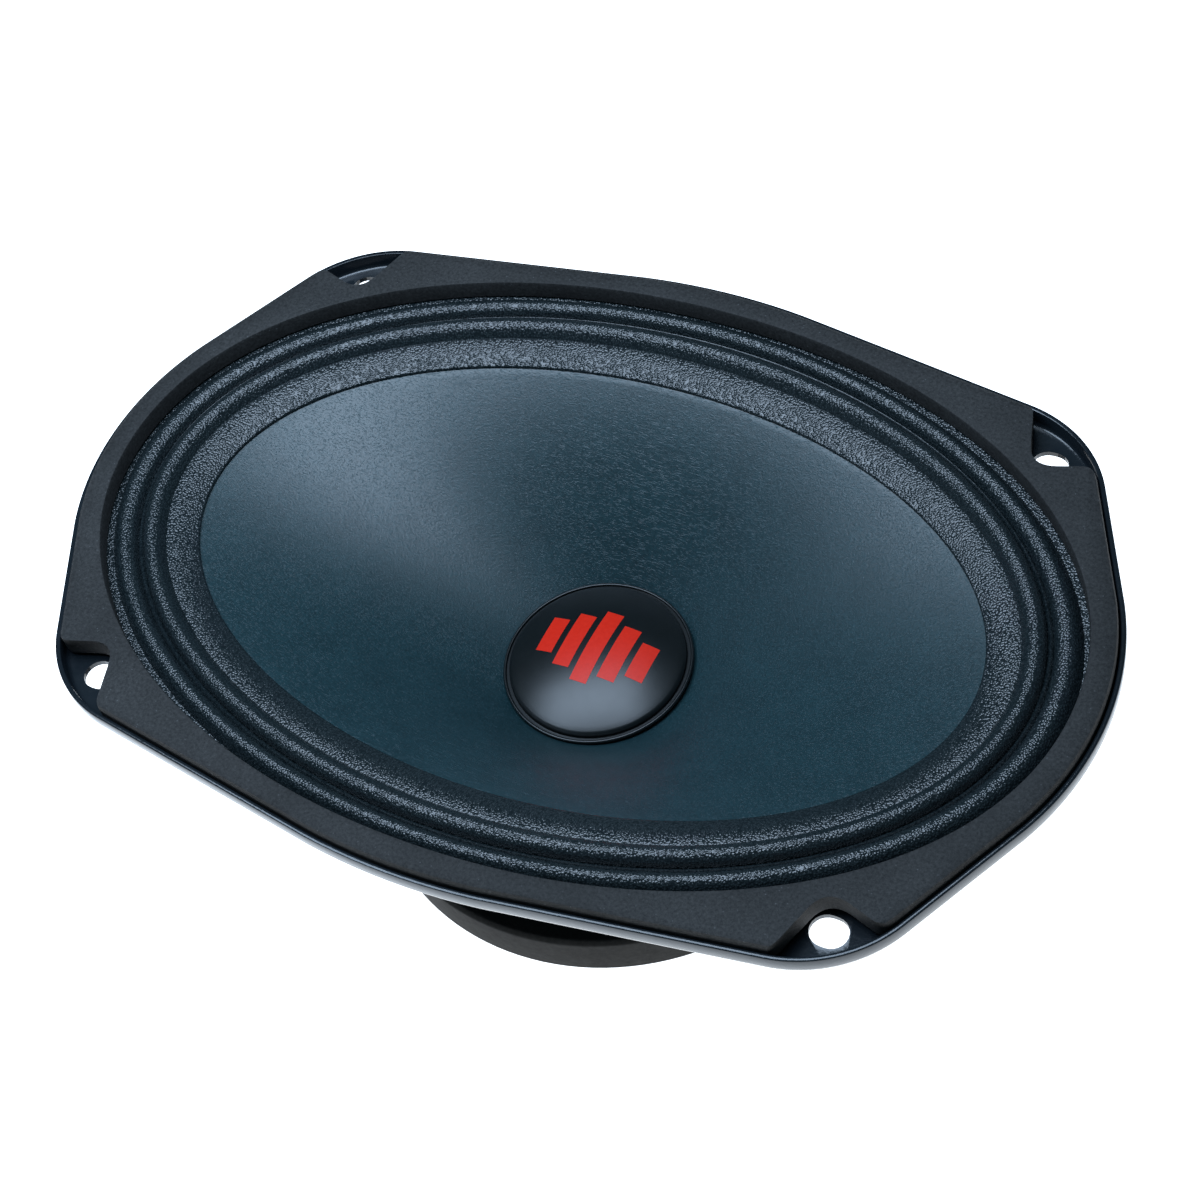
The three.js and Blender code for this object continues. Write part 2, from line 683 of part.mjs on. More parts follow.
add('basket_frame', basket(), finishes.blackPaint);
add('front_gasket', gasket(), finishes.fibre);
add('surround', surround(), finishes.cloth);
add('cone', cone(), finishes.bluePaper);
add('dust_cap', dustCap(), finishes.blackPlastic);
add('coil_former', tube(FORMER_INNER, FORMER_OUTER, FORMER_BOTTOM, FORMER_TOP), finishes.glassCloth);
add('coil_winding', tube(WRAP_INNER, WINDING_OUTER, WINDING_BOTTOM, WINDING_TOP), finishes.copper);
add('coil_paper_wrap', tube(WRAP_INNER, WRAP_OUTER, WINDING_TOP + 0.4, FORMER_TOP), finishes.brownPaper);
add('spider', spider(), finishes.yellowCloth);
add('back_plate_pole', yoke(), finishes.zincSteel);
add('vent_screen', turned([[0, 0.4], [SCREEN_RADIUS, 0.4], [SCREEN_RADIUS, 1], [0, 1]], 24), finishes.zincSteel);
add('ferrite_magnet', magnet(), finishes.ferrite);
add('top_plate', topPlate(), finishes.zincSteel);
rivetSpots.forEach(([x, y], i) => add(`plate_rivet_${i + 1}`, plateRivet(x, y), finishes.zincSteel));

add('terminal_board', terminalBoard(), finishes.board, boardGroup);
for (const [name, { side, width }] of Object.entries(tabs)) {
  const tab = add(`${name}_terminal`, terminalTab(width), finishes.tinnedBrass, boardGroup);
  tab.position.set(-side * TAB_X, 0, BOARD_THICKNESS);
}
BOARD_RIVETS.forEach((x, i) => add(`board_rivet_${i + 1}`, boardRivet(x), finishes.zincSteel, boardGroup));
add('positive_tinsel_lead', tinselLead(1), finishes.braid);
add('negative_tinsel_lead', tinselLead(-1), finishes.braid);
add('positive_coil_pad', solderPad(1), finishes.solder);
add('negative_coil_pad', solderPad(-1), finishes.solder);

export default model;
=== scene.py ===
"""A six by nine inch oval car loudspeaker, standing on its magnet with the cone facing up.

The pieces are built in millimetres in the frame of the CAD model, and scaled to metres as they are made:
+X runs along the long axis of the oval, +Y along the short one, and +Z is the loudspeaker's own axis.
"""

import math

import bpy
import numpy as np
from mathutils import Matrix, Vector


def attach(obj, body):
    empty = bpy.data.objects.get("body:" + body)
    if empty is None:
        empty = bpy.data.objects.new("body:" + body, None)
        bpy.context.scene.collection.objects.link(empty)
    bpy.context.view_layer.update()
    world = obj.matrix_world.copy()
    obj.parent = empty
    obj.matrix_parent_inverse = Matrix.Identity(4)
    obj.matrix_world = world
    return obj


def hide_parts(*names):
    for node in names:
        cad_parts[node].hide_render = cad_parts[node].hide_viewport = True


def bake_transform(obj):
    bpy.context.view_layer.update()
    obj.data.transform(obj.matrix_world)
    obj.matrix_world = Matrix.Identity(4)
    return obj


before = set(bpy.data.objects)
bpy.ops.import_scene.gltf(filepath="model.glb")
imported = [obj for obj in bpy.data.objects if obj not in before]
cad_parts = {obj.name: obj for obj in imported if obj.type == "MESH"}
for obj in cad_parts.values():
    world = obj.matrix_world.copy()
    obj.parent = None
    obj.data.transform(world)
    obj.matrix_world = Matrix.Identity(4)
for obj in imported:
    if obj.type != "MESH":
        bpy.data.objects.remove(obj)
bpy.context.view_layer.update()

MM = 0.001
TURN = 2 * math.pi

# ---------------------------------------------------------------- sizes, in millimetres

OVAL_STEPS = 240
ROUND_STEPS = 128

# Flange outline: side, end and corner arcs, joined by straight flanks.
HALF_LENGTH, HALF_WIDTH = 117.5, 80.0
SIDE_RADIUS, END_RADIUS, CORNER_RADIUS = 150.6, 64.5, 29.5
CORNER_X, CORNER_Y = 71.7, 40.75
END_X, SIDE_Y = HALF_LENGTH - END_RADIUS, HALF_WIDTH - SIDE_RADIUS

HOLE_X, HOLE_Y, HOLE_WIDTH, HOLE_LENGTH = 84.4, 58.6, 6.8, 7.8

# Gasket notch in the +X +Y corner: where its flanks meet the gasket's outer edge and each other.
NOTCH_SIDE_TIP, NOTCH_INSIDE, NOTCH_END_TIP = (77.4, 68.1), (82.1, 52.8), (94.6, 56.8)
NOTCH_ROUNDING = (2.4, 5.7, 2.6)

SHEET = 1.2
BASKET_FLOOR = 23.4
SPIDER_LEDGE = 31.0
FLANGE_TOP = 74.2
RIM_TOP = 78.0
GASKET_TOP = 79.9
SURROUND_BASE = 75.0
CONE_EDGE_Z = 71.8
CONE_NECK_Z = 38.0

# Ovals: half-length, half-width.
OPENING, OPENING_POWER = (110.6, 72.8), 2.06
LIP = (113.9, 75.3)
OUTER_FOOT = (109.9, 72.2)
VALLEY = (103.2, 66.9)
INNER_FOOT = (97.4, 61.0)
CONE_EDGE = (90.3, 54.2)
CONE_RIM = (97.2, 60.6)
CONE_NECK_RADIUS = 20.2
CLOTH = 0.5
PAPER = 0.9
ROLL_HEIGHT = 2.4

# Dust cap: a dome inside a narrow groove and a thin rim.
CAP_RADIUS, CAP_RIM_Z, CAP_FOOT_Z = 21.5, 40.6, 40.0
DOME_RADIUS, DOME_EDGE_Z, DOME_TOP_Z = 20.0, 41.3, 45.4

SPIDER_INNER, SPIDER_OUTER, SPIDER_Z = 19.85, 48.6, 32.0
SPIDER_WAVES, SPIDER_WAVE_HEIGHT = 4, 1.1

# Gap that neighbouring pieces keep.
CLEARANCE = 0.3

# Motor: back plate with pole, ring magnet, top plate and the screen in the vent.
BACK_PLATE_TOP, MAGNET_TOP, TOP_PLATE_TOP = 5.3, 17.8, 23.1
BACK_PLATE_RADIUS, MAGNET_RADIUS, TOP_PLATE_RADIUS = 53.0, 58.6, 52.5
POLE_RADIUS, GAP_OUTER_RADIUS, MAGNET_BORE = 18.5, 20.7, 27.0
VENT_RADIUS, SCREEN_RADIUS, SCREEN_TOP = 5.0, 6.4, 1.0
SCREEN_PITCH, WIRE_RADIUS = 0.95, 0.13
RIVET_CIRCLE, RIVET_SHANK = 35.0, 1.8
RIVET_ANGLES = (45, 135, 225, 315)

# Voice coil.
FORMER_INNER, FORMER_OUTER, FORMER_BOTTOM, FORMER_TOP = 19.0, 19.15, 13.0, 37.4
WRAP_INNER, WRAP_OUTER, WRAP_BOTTOM = 19.35, 19.55, 28.0
WINDING_OUTER, WINDING_BOTTOM, WINDING_TOP = 20.05, 13.6, 27.6

# Windows in the basket wall: bottom width, top width, bottom and top level.
END_WINDOW, END_WINDOW_ANGLES = (42, 62, 36.5, 65), (0, 180)
SIDE_WINDOW, SIDE_WINDOW_ANGLES = (38, 54, 37.5, 65), (58, 122, 238, 302)
WINDOW_CORNER = 5.0

# Terminal board, on the arm that faces +Y, with a wider tab on its positive side.
BOARD_CENTRE = (0.0, 62.7, 48.5)
BOARD_TILT = 0.427
BOARD_WIDTH, BOARD_HEIGHT, BOARD_THICKNESS, BOARD_CORNER = 36.0, 13.0, 1.6, 2.0
BOARD_RIVETS, BOARD_RIVET_SHANK, BOARD_RIVET_HOLE = (-5, 5), 1.3, 1.6
TAB_X = 14.5
TAB_THICKNESS = 0.8
TABS = (("positive", 1, 6.3), ("negative", -1, 4.8))


# ---------------------------------------------------------------- ovals and outlines

def oval_point(half_length, half_width, angle, power=2.0):
    """Point of an oval whose outward normal has the given angle. A power of 2 is an ellipse."""
    c, s = math.cos(angle), math.sin(angle)
    x = (abs(c) * half_length**power) ** (1 / (power - 1))
    y = (abs(s) * half_width**power) ** (1 / (power - 1))
    scale = ((x / half_length) ** power + (y / half_width) ** power) ** (-1 / power)
    return math.copysign(x * scale, c), math.copysign(y * scale, s)


def tangent_angle(start, start_radius, end, end_radius):
    """Normal angle at which an outline passes from one arc to the next, along their common tangent."""
    dx, dy = start[0] - end[0], start[1] - end[1]
    return math.atan2(dy, dx) + math.acos((end_radius - start_radius) / math.hypot(dx, dy))


CORNER_CENTRE = (CORNER_X, CORNER_Y)
END_TO_CORNER = tangent_angle((END_X, 0), END_RADIUS, CORNER_CENTRE, CORNER_RADIUS)
CORNER_TO_SIDE = tangent_angle(CORNER_CENTRE, CORNER_RADIUS, (0, SIDE_Y), SIDE_RADIUS)


def outline_point(angle, inset):
    """Point of the flange outline, moved inwards by inset, for one outward normal."""
    c, s = math.cos(angle), math.sin(angle)
    folded = math.atan2(abs(s), abs(c))
    centre, radius = CORNER_CENTRE, CORNER_RADIUS
    if folded < END_TO_CORNER:
        centre, radius = (END_X, 0), END_RADIUS
    if folded > CORNER_TO_SIDE:
        centre, radius = (0, SIDE_Y), SIDE_RADIUS
    x = centre[0] + (radius - inset) * math.cos(folded)
    y = centre[1] + (radius - inset) * math.sin(folded)
    return math.copysign(x, c), math.copysign(y, s)


def ring(point, z, steps=OVAL_STEPS):
    return np.array([(*point(i * TURN / steps), z) for i in range(steps)])


def oval(size, z, power=2.0):
    return ring(lambda angle: oval_point(*size, angle, power), z)


def circle(radius, z, steps=OVAL_STEPS):
    return ring(lambda angle: (radius * math.cos(angle), radius * math.sin(angle)), z, steps)


def outline(inset, z):
    return ring(lambda angle: outline_point(angle, inset), z)


def smooth_path(points, steps):
    """Catmull-Rom curve through the points, whatever they are made of, with its ends kept."""
    points = np.array(points, float)
    padded = np.vstack([2 * points[0] - points[1], points, 2 * points[-1] - points[-2]])
    path = []
    for i in range(len(points) - 1):
        p0, p1, p2, p3 = padded[i : i + 4]
        slope = p2 - p0
        bend = 2 * p0 - 5 * p1 + 4 * p2 - p3
        twist = 3 * p1 - p0 - 3 * p2 + p3
        for k in range(steps):
            t = k / steps
            path.append(p1 + 0.5 * t * (slope + t * (bend + t * twist)))
    path.append(points[-1])
    return np.array(path)


def rounded(profile, radii, steps=5):
    """A closed section with its corners rounded off, by one radius or by one for each corner."""
    profile = [np.array(p, float) for p in profile]
    radii = np.broadcast_to(radii, len(profile))
    path = []
    for i, corner in enumerate(profile):
        before, after = profile[i - 1] - corner, profile[(i + 1) % len(profile)] - corner
        lengths = np.linalg.norm(before), np.linalg.norm(after)
        if min(*lengths, radii[i]) < 1e-6 or abs(corner[0]) < 1e-6:
            path.append(corner)
            continue
        reach = min(radii[i], 0.45 * lengths[0], 0.45 * lengths[1])
        a, b = corner + before / lengths[0] * reach, corner + after / lengths[1] * reach
        for k in range(steps + 1):
            t = k / steps
            path.append((1 - t) ** 2 * a + 2 * t * (1 - t) * corner + t**2 * b)
    return path


# ---------------------------------------------------------------- mesh making

def make_piece(name, points, faces, look, body=None, sharp=38, uvs=None):
    """One mesh piece from points in millimetres, riding on a body when one is given."""
    mesh = bpy.data.meshes.new(name)
    mesh.from_pydata((np.array(points) * MM).tolist(), [], faces)
    if uvs is not None:
        layer = mesh.uv_layers.new(name="mm")
        layer.uv.foreach_set("vector", np.array(uvs, np.float32).ravel())
    mesh.validate()
    mesh.shade_smooth()
    mesh.set_sharp_from_angle(angle=math.radians(sharp))
    piece = bpy.data.objects.new(name, mesh)
    bpy.context.scene.collection.objects.link(piece)
    piece.data.materials.append(look)
    if body:
        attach(piece, body)
    return piece


def signed_volume(points, faces):
    total = 0.0
    for face in faces:
        a = points[face[0]]
        for b, c in zip(face[1:-1], face[2:]):
            total += np.dot(a, np.cross(points[b], points[c]))
    return total


def loft(rings, closed=True):
    """Points, faces and UVs in millimetres of a band, or of a solid whose section closes on itself."""
    rings = np.array(rings)
    count, steps = rings.shape[:2]
    points = rings.reshape(-1, 3)
    around = np.linalg.norm(np.roll(rings, -1, axis=1) - rings, axis=2).mean(axis=0)
    around = np.concatenate([[0], np.cumsum(around)])
    across = np.linalg.norm(np.roll(rings, -1, axis=0) - rings, axis=2).mean(axis=1)
    across = np.concatenate([[0], np.cumsum(across)])
    faces, uvs = [], []
    for r in range(count if closed else count - 1):
        for i in range(steps):
            j, s = (i + 1) % steps, (r + 1) % count
            faces.append((r * steps + i, r * steps + j, s * steps + j, s * steps + i))
            corners = ((i, r), (i + 1, r), (i + 1, r + 1), (i, r + 1))
            uvs.append([(around[u], across[v]) for u, v in corners])
    if closed and signed_volume(points, faces) < 0:
        faces = [face[::-1] for face in faces]
        uvs = [uv[::-1] for uv in uvs]
    return points, faces, [pair for uv in uvs for pair in uv]


def turned(profile, steps=ROUND_STEPS):
    """Points and faces of a piece turned about Z, from a closed section of (radius, height)."""
    points, faces, columns = [], [], []
    for radius, height in profile:
        if radius < 1e-6:
            columns.append([len(points)] * steps)
            points.append((0.0, 0.0, height))
            continue
        start = len(points)
        columns.append(list(range(start, start + steps)))
        for i in range(steps):
            angle = i * TURN / steps
            points.append((radius * math.cos(angle), radius * math.sin(angle), height))
    for a, b in zip(columns, columns[1:] + columns[:1]):
        for i in range(steps):
            j = (i + 1) % steps
            face = tuple(dict.fromkeys((a[i], a[j], b[j], b[i])))
            if len(face) > 2:
                faces.append(face)
    points = np.array(points)
    if signed_volume(points, faces) < 0:
        faces = [face[::-1] for face in faces]
    return points, faces


def turned_piece(name, profile, look, body, steps=ROUND_STEPS, sharp=38):
    points, faces = turned(profile, steps)
    return make_piece(name, points, faces, look, body, sharp)


def prism(shape, bottom, top):
    """Points and faces of an upright prism over a flat outline that runs anticlockwise."""
    n = len(shape)
    points = [(x, y, bottom) for x, y in shape] + [(x, y, top) for x, y in shape]
    faces = [tuple(range(n))[::-1], tuple(range(n, 2 * n))]
    faces += [(i, (i + 1) % n, n + (i + 1) % n, n + i) for i in range(n)]
    return np.array(points), faces


def placed(points, matrix):
    return np.array([matrix @ Vector(p) for p in points])


def arc(centre, radius, start, end, steps):
    """Points of an arc between two angles in degrees, ends included."""
    angles = np.radians(np.linspace(start, end, steps + 1))
    return [(centre[0] + radius * math.cos(a), centre[1] + radius * math.sin(a)) for a in angles]


def slot_shape(length, width, steps=12):
    run = (length - width) / 2
    return arc((run, 0), width / 2, -90, 90, steps) + arc((-run, 0), width / 2, 90, 270, steps)


def tube(path, radius, sides=12):
    """Points, faces and UVs of a round tube along a path, closed by end caps."""
    path = np.array(path, float)
    tangents = np.gradient(path, axis=0)
    tangents /= np.linalg.norm(tangents, axis=1)[:, None]
    side = np.cross(tangents[0], (0, 0, 1.0))
    if np.linalg.norm(side) < 1e-3:
        side = np.array((1.0, 0, 0))
    rings = []
    for point, tangent in zip(path, tangents):
        side = side - tangent * np.dot(side, tangent)
        side /= np.linalg.norm(side)
        other = np.cross(tangent, side)
        angles = np.arange(sides) * TURN / sides
        rings.append([point + radius * (math.cos(a) * side + math.sin(a) * other) for a in angles])
    points, faces, uvs = loft(rings, closed=False)
    last = len(points) - sides
    faces += [tuple(range(sides))[::-1], tuple(range(last, last + sides))]
    uvs += [(0, 0)] * (2 * sides)
    if signed_volume(points, faces) < 0:
        faces = [face[::-1] for face in faces]
    return points, faces, uvs


def joined(parts):
    """Points and faces of several parts, each a pair of points and faces, as one."""
    points, faces = [], []
    for part_points, part_faces in parts:
        base = len(points)
        points.extend(np.array(part_points).tolist())
        faces.extend(tuple(base + i for i in face) for face in part_faces)
    return points, faces


def cut(piece, tools):
    """Cuts the tools, each a pair of points and faces, out of a piece, and keeps the result as its mesh."""
    points, faces = joined(tools)
    mesh = bpy.data.meshes.new("cutter")
    mesh.from_pydata((np.array(points) * MM).tolist(), [], faces)
    cutter = bpy.data.objects.new("cutter", mesh)
    bpy.context.scene.collection.objects.link(cutter)
    boolean = piece.modifiers.new("cut", "BOOLEAN")
    boolean.operation, boolean.solver, boolean.object = "DIFFERENCE", "EXACT", cutter
    apply_modifiers(piece)
    bpy.data.objects.remove(cutter)


def apply_modifiers(piece):
    graph = bpy.context.evaluated_depsgraph_get()
    result = bpy.data.meshes.new_from_object(piece.evaluated_get(graph))
    piece.modifiers.clear()
    piece.data = result


def soften(piece, width, segments=3, angle=35):
    """Rounds the edges of a piece a little, with shading that keeps its flat faces flat."""
    bevel = piece.modifiers.new("edges", "BEVEL")
    bevel.width, bevel.segments = width * MM, segments
    bevel.limit_method, bevel.angle_limit = "ANGLE", math.radians(angle)
    bevel.harden_normals = True
    apply_modifiers(piece)


def bend_with_cone(piece, weight):
    """Bakes a piece's placement into its points and works out a weight for each point, given in
    millimetres; the piece is not bent.
    """
    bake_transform(piece)
    weights = [weight(v.co / MM) for v in piece.data.vertices]


def ease(value, start, end):
    """0 before start, 1 after end, and a smooth rise between them."""
    t = min(1.0, max(0.0, (value - start) / (end - start)))
    return t * t * (3 - 2 * t)


# ---------------------------------------------------------------- looks

class Look:
    """A node material: a Principled shader with textures for its colour, roughness and bump."""

    def __init__(self, name, roughness, metallic=0.0, **sockets):
        self.material = bpy.data.materials.new(name)
        self.material.use_nodes = True
        self.nodes = self.material.node_tree.nodes
        self.links = self.material.node_tree.links
        self.shader = self.nodes["Principled BSDF"]
        self.shader.inputs["Roughness"].default_value = roughness
        self.shader.inputs["Metallic"].default_value = metallic
        for socket, value in sockets.items():
            self.shader.inputs[socket.replace("_", " ")].default_value = value
        coordinates = self.nodes.new("ShaderNodeTexCoord")
        self.place = self.vector("SCALE", coordinates.outputs["Object"], scale=1 / MM)
        self.uv = coordinates.outputs["UV"]

    def connect(self, value, socket):
        if isinstance(value, bpy.types.NodeSocket):
            self.links.new(value, socket)
        else:
            socket.default_value = value

    def vector(self, operation, a, b=None, scale=None):
        node = self.nodes.new("ShaderNodeVectorMath")
        node.operation = operation
        self.connect(a, node.inputs[0])
        if b is not None:
            self.connect(b, node.inputs[1])
        if scale is not None:
            self.connect(scale, node.inputs["Scale"])
        return node.outputs["Value"] if operation == "LENGTH" else node.outputs["Vector"]

    def maths(self, operation, a, b=0.0):
        node = self.nodes.new("ShaderNodeMath")
        node.operation = operation
        self.connect(a, node.inputs[0])
        self.connect(b, node.inputs[1])
        return node.outputs[0]

    def xyz(self, vector):
        node = self.nodes.new("ShaderNodeSeparateXYZ")
        self.links.new(vector, node.inputs[0])
        return node.outputs

    def noise(self, per_mm, detail=2.0, place=None, roughness=0.5, output="Fac"):
        node = self.nodes.new("ShaderNodeTexNoise")
        node.inputs["Scale"].default_value = per_mm
        node.inputs["Detail"].default_value = detail
        node.inputs["Roughness"].default_value = roughness
        self.links.new(place or self.place, node.inputs["Vector"])
        return node.outputs[output]

    def cells(self, per_mm, place=None):
        node = self.nodes.new("ShaderNodeTexVoronoi")
        node.inputs["Scale"].default_value = per_mm
        self.links.new(place or self.place, node.inputs["Vector"])
        return node.outputs["Distance"]

    def turned_and_stretched(self, degrees, along, across):
        """The place, turned about Z and drawn out, for streaks and fibres."""
        node = self.nodes.new("ShaderNodeMapping")
        node.inputs["Rotation"].default_value = (0, 0, math.radians(degrees))
        node.inputs["Scale"].default_value = (1 / along, 1 / across, 1 / across)
        self.links.new(self.place, node.inputs["Vector"])
        return node.outputs["Vector"]

    def ramp(self, value, *stops):
        """Colours, or greys, at positions of a value."""
        node = self.nodes.new("ShaderNodeValToRGB")
        self.links.new(value, node.inputs["Fac"])
        elements = node.color_ramp.elements
        while len(elements) < len(stops):
            elements.new(0.5)
        for element, (position, shade) in zip(elements, stops):
            shade = shade if isinstance(shade, tuple) else (shade,) * 3
            element.position, element.color = position, (*shade, 1)
        return node.outputs["Color"]

    def mix(self, amount, a, b, kind="MIX"):
        node = self.nodes.new("ShaderNodeMix")
        node.data_type, node.blend_type = "RGBA", kind
        self.connect(amount, node.inputs["Factor"])
        # Inputs 6 and 7 and output 2 are the node's colour sockets.
        for value, socket in ((a, node.inputs[6]), (b, node.inputs[7])):
            self.connect((*value, 1) if isinstance(value, tuple) else value, socket)
        return node.outputs[2]

    def color(self, value):
        self.connect(value, self.shader.inputs["Base Color"])

    def rough(self, value, low, high):
        """Roughness that runs from low to high as a value runs from 0 to 1."""
        node = self.nodes.new("ShaderNodeMapRange")
        self.links.new(value, node.inputs["Value"])
        node.inputs["To Min"].default_value, node.inputs["To Max"].default_value = low, high
        self.links.new(node.outputs["Result"], self.shader.inputs["Roughness"])

    def bump(self, *layers):
        """Bump from layers of (height, depth in millimetres)."""
        normal = None
        for height, depth in layers:
            node = self.nodes.new("ShaderNodeBump")
            node.inputs["Distance"].default_value = depth * MM
            self.links.new(height, node.inputs["Height"])
            if normal:
                self.links.new(normal, node.inputs["Normal"])
            normal = node.outputs["Normal"]
        self.links.new(normal, self.shader.inputs["Normal"])

    def weave(self, pitch, wander=0.2):
        """Height of a plain weave, one bead for each crossing, with threads that wander a little."""
        shift = self.vector("SCALE", self.noise(0.9, output="Color"), scale=wander)
        place = self.xyz(self.vector("ADD", self.place, shift))
        height = None
        for axis in (0, 1):
            wave = self.maths("SINE", self.maths("MULTIPLY", place[axis], math.pi / pitch))
            wave = self.maths("ABSOLUTE", wave)
            height = wave if height is None else self.maths("MULTIPLY", height, wave)
        return height

    def patched(self, body, per_mm):
        """A colour made darker and lighter in soft patches."""
        patches = self.ramp(self.noise(per_mm, 3), (0.3, 0.8), (0.7, 1.15))
        return self.mix(1.0, body, patches, "MULTIPLY")


def paint_look():
    look = Look("black_stoved_paint", 0.2)
    patches = look.noise(0.08, 3)
    look.color(look.ramp(patches, (0.3, (0.006, 0.009, 0.012)), (0.7, (0.01, 0.014, 0.018))))
    look.rough(look.noise(0.5, 4), 0.12, 0.24)
    look.bump((look.noise(0.9, 2), 0.03))
    return look.material


def gasket_look():
    look = Look("charcoal_fibre", 0.8, Specular_IOR_Level=0.2)
    fine = look.noise(1.4, 5, roughness=0.8)
    body = look.ramp(fine, (0.32, (0.014, 0.014, 0.014)), (0.68, (0.05, 0.049, 0.048)))
    body = look.patched(body, 0.05)
    specks = look.ramp(look.cells(1.3), (0.0, 1.0), (0.1, 1.0), (0.2, 0.0))
    sparse = look.ramp(look.noise(0.7, 2), (0.56, 0.0), (0.64, 0.7))
    specks = look.maths("MULTIPLY", specks, sparse)
    look.color(look.mix(specks, body, (0.12, 0.125, 0.13)))
    look.rough(fine, 0.5, 0.78)
    look.bump((fine, 0.12))
    return look.material


def cloth_look(valley_across):
    """Glossy coated cloth: its beads glint on the rolls and the band, and the pressed valley is smooth. The
    bead tops are also painted lighter, as a painted glint, and the hollows between them darker, as painted
    shade.
    """
    look = Look("coated_surround_cloth", 0.3, Specular_IOR_Level=0.6)
    beads = look.ramp(look.cells(2.1), (0.0, 1.0), (0.75, 0.0))
    lumps = look.noise(1.1, 3)
    off_valley = look.maths("ABSOLUTE", look.maths("SUBTRACT", look.xyz(look.uv)[1], valley_across))
    beaded = look.ramp(look.maths("DIVIDE", off_valley, 4.0), (0.14, 0.0), (0.24, 1.0))
    height = look.maths("MULTIPLY", beads, beaded)
    # Colour lighter on the bead tops and darker between the beads: a painted glint and painted shade.
    look.color(look.mix(beads, (0.005, 0.009, 0.011), (0.022, 0.031, 0.034)))
    look.rough(lumps, 0.18, 0.27)
    look.bump((height, 0.12), (lumps, 0.04))
    return look.material


def paper_look():
    """Dyed cone paper: pressed pulp with fine light fibres lying every way."""
    look = Look("blue_cone_paper", 0.5, Specular_IOR_Level=0.6)
    mottle = look.noise(0.1, 3)
    body = look.ramp(mottle, (0.3, (0.008, 0.028, 0.034)), (0.7, (0.0105, 0.035, 0.042)))
    pulp = look.noise(1.8, 4, roughness=0.7)
    body = look.mix(1.0, body, look.ramp(pulp, (0.3, 0.6), (0.7, 1.4)), "MULTIPLY")
    fibres = None
    for degrees in (8, 29, 52, 77, 103, 121, 139, 168):
        streaks = look.noise(1.0, 1.0, look.turned_and_stretched(degrees, 3.0, 0.26))
        streaks = look.ramp(streaks, (0.68, 0.0), (0.75, 1.0))
        fibres = streaks if fibres is None else look.maths("MAXIMUM", fibres, streaks)
    fibres = look.maths("MULTIPLY", fibres, 0.55)
    look.color(look.mix(fibres, body, (0.03, 0.068, 0.082)))
    look.rough(pulp, 0.33, 0.4)
    look.bump((pulp, 0.06), (fibres, 0.05))
    return look.material


def cap_look():
    look = Look("satin_black_plastic", 0.3)
    patches = look.noise(0.2, 3)
    look.color(look.ramp(patches, (0.3, (0.0005, 0.0016, 0.002)), (0.7, (0.001, 0.0026, 0.0032))))
    look.rough(look.noise(0.6, 4), 0.3, 0.36)
    look.bump((look.noise(3.0, 3), 0.008))
    return look.material


def print_look():
    look = Look("red_print", 0.4, Specular_IOR_Level=0.25)
    look.color(look.ramp(look.noise(1.2, 4), (0.3, (0.66, 0.016, 0.004)), (0.7, (0.72, 0.02, 0.006))))
    look.rough(look.noise(1.0, 3), 0.35, 0.48)
    look.bump((look.noise(3.0, 3), 0.01))
    return look.material


def plain_look(name, dark, light, rough_low, rough_high, grain, depth, metallic=0.0, **sockets):
    """Mottled colour, uneven roughness and a fine bump of one grain size, in features per millimetre."""
    look = Look(name, rough_high, metallic, **sockets)
    fine = look.noise(grain, 4, roughness=0.6)
    body = look.ramp(fine, (0.3, dark), (0.7, light))
    look.color(look.patched(body, grain * 0.05))
    look.rough(look.noise(grain * 0.4, 3), rough_low, rough_high)
    look.bump((fine, depth))
    return look.material


def turned_steel_look(name, dark, light, rough_low, rough_high):
    """Plated steel with the fine rings that turning leaves."""
    look = Look(name, rough_high, 0.9)
    radius = look.vector("LENGTH", look.vector("MULTIPLY", look.place, (1, 1, 0)))
    combined = look.nodes.new("ShaderNodeCombineXYZ")
    look.links.new(radius, combined.inputs["X"])
    look.links.new(look.xyz(look.place)[2], combined.inputs["Z"])
    rings = look.noise(3.0, 3, combined.outputs[0])
    tarnish = look.noise(0.09, 5)
    plating = look.ramp(tarnish, (0.3, dark), (0.7, light))
    look.color(look.mix(rings, plating, (0.62, 0.62, 0.6), "MULTIPLY"))
    look.rough(rings, rough_low, rough_high)
    look.bump((rings, 0.03))
    return look.material


def spider_look():
    look = Look("varnished_spider_cloth", 0.8)
    weave = look.weave(0.5, 0.1)
    # Colour darker where the weave is low, between the threads: painted shade in the gaps.
    body = look.ramp(weave, (0.1, (0.13, 0.085, 0.035)), (0.8, (0.4, 0.29, 0.14)))
    look.color(look.patched(body, 0.06))
    look.rough(weave, 0.85, 0.6)
    look.bump((weave, 0.22))
    return look.material


def braid_look():
    look = Look("tinsel_braid", 0.4, 0.85)
    u, v = look.xyz(look.uv)[0], look.xyz(look.uv)[1]
    height = None
    for sign in (1, -1):
        slant = look.maths("ADD", look.maths("MULTIPLY", u, 5.0), look.maths("MULTIPLY", v, 5.0 * sign))
        wave = look.maths("ABSOLUTE", look.maths("SINE", slant))
        height = wave if height is None else look.maths("MAXIMUM", height, wave)
    # Colour darker in the gaps between the strands: painted shade.
    look.color(look.ramp(height, (0.5, (0.12, 0.07, 0.045)), (0.95, (0.56, 0.42, 0.3))))
    look.rough(look.noise(2.0, 3), 0.3, 0.5)
    look.bump((height, 0.15))
    return look.material


def winding_look():
    look = Look("enamelled_copper_wire", 0.3, 0.9)
    height = look.xyz(look.place)[2]
    turns = look.maths("ABSOLUTE", look.maths("SINE", look.maths("MULTIPLY", height, math.pi / 0.32)))
    # Colour darker in the grooves between the turns and lighter on their crowns: painted shade in the
    # grooves.
    look.color(look.ramp(turns, (0.1, (0.16, 0.05, 0.02)), (0.7, (0.62, 0.24, 0.1))))
    look.rough(look.noise(1.0, 3), 0.25, 0.4)
    look.bump((turns, 0.12))
    return look.material


# ---------------------------------------------------------------- basket

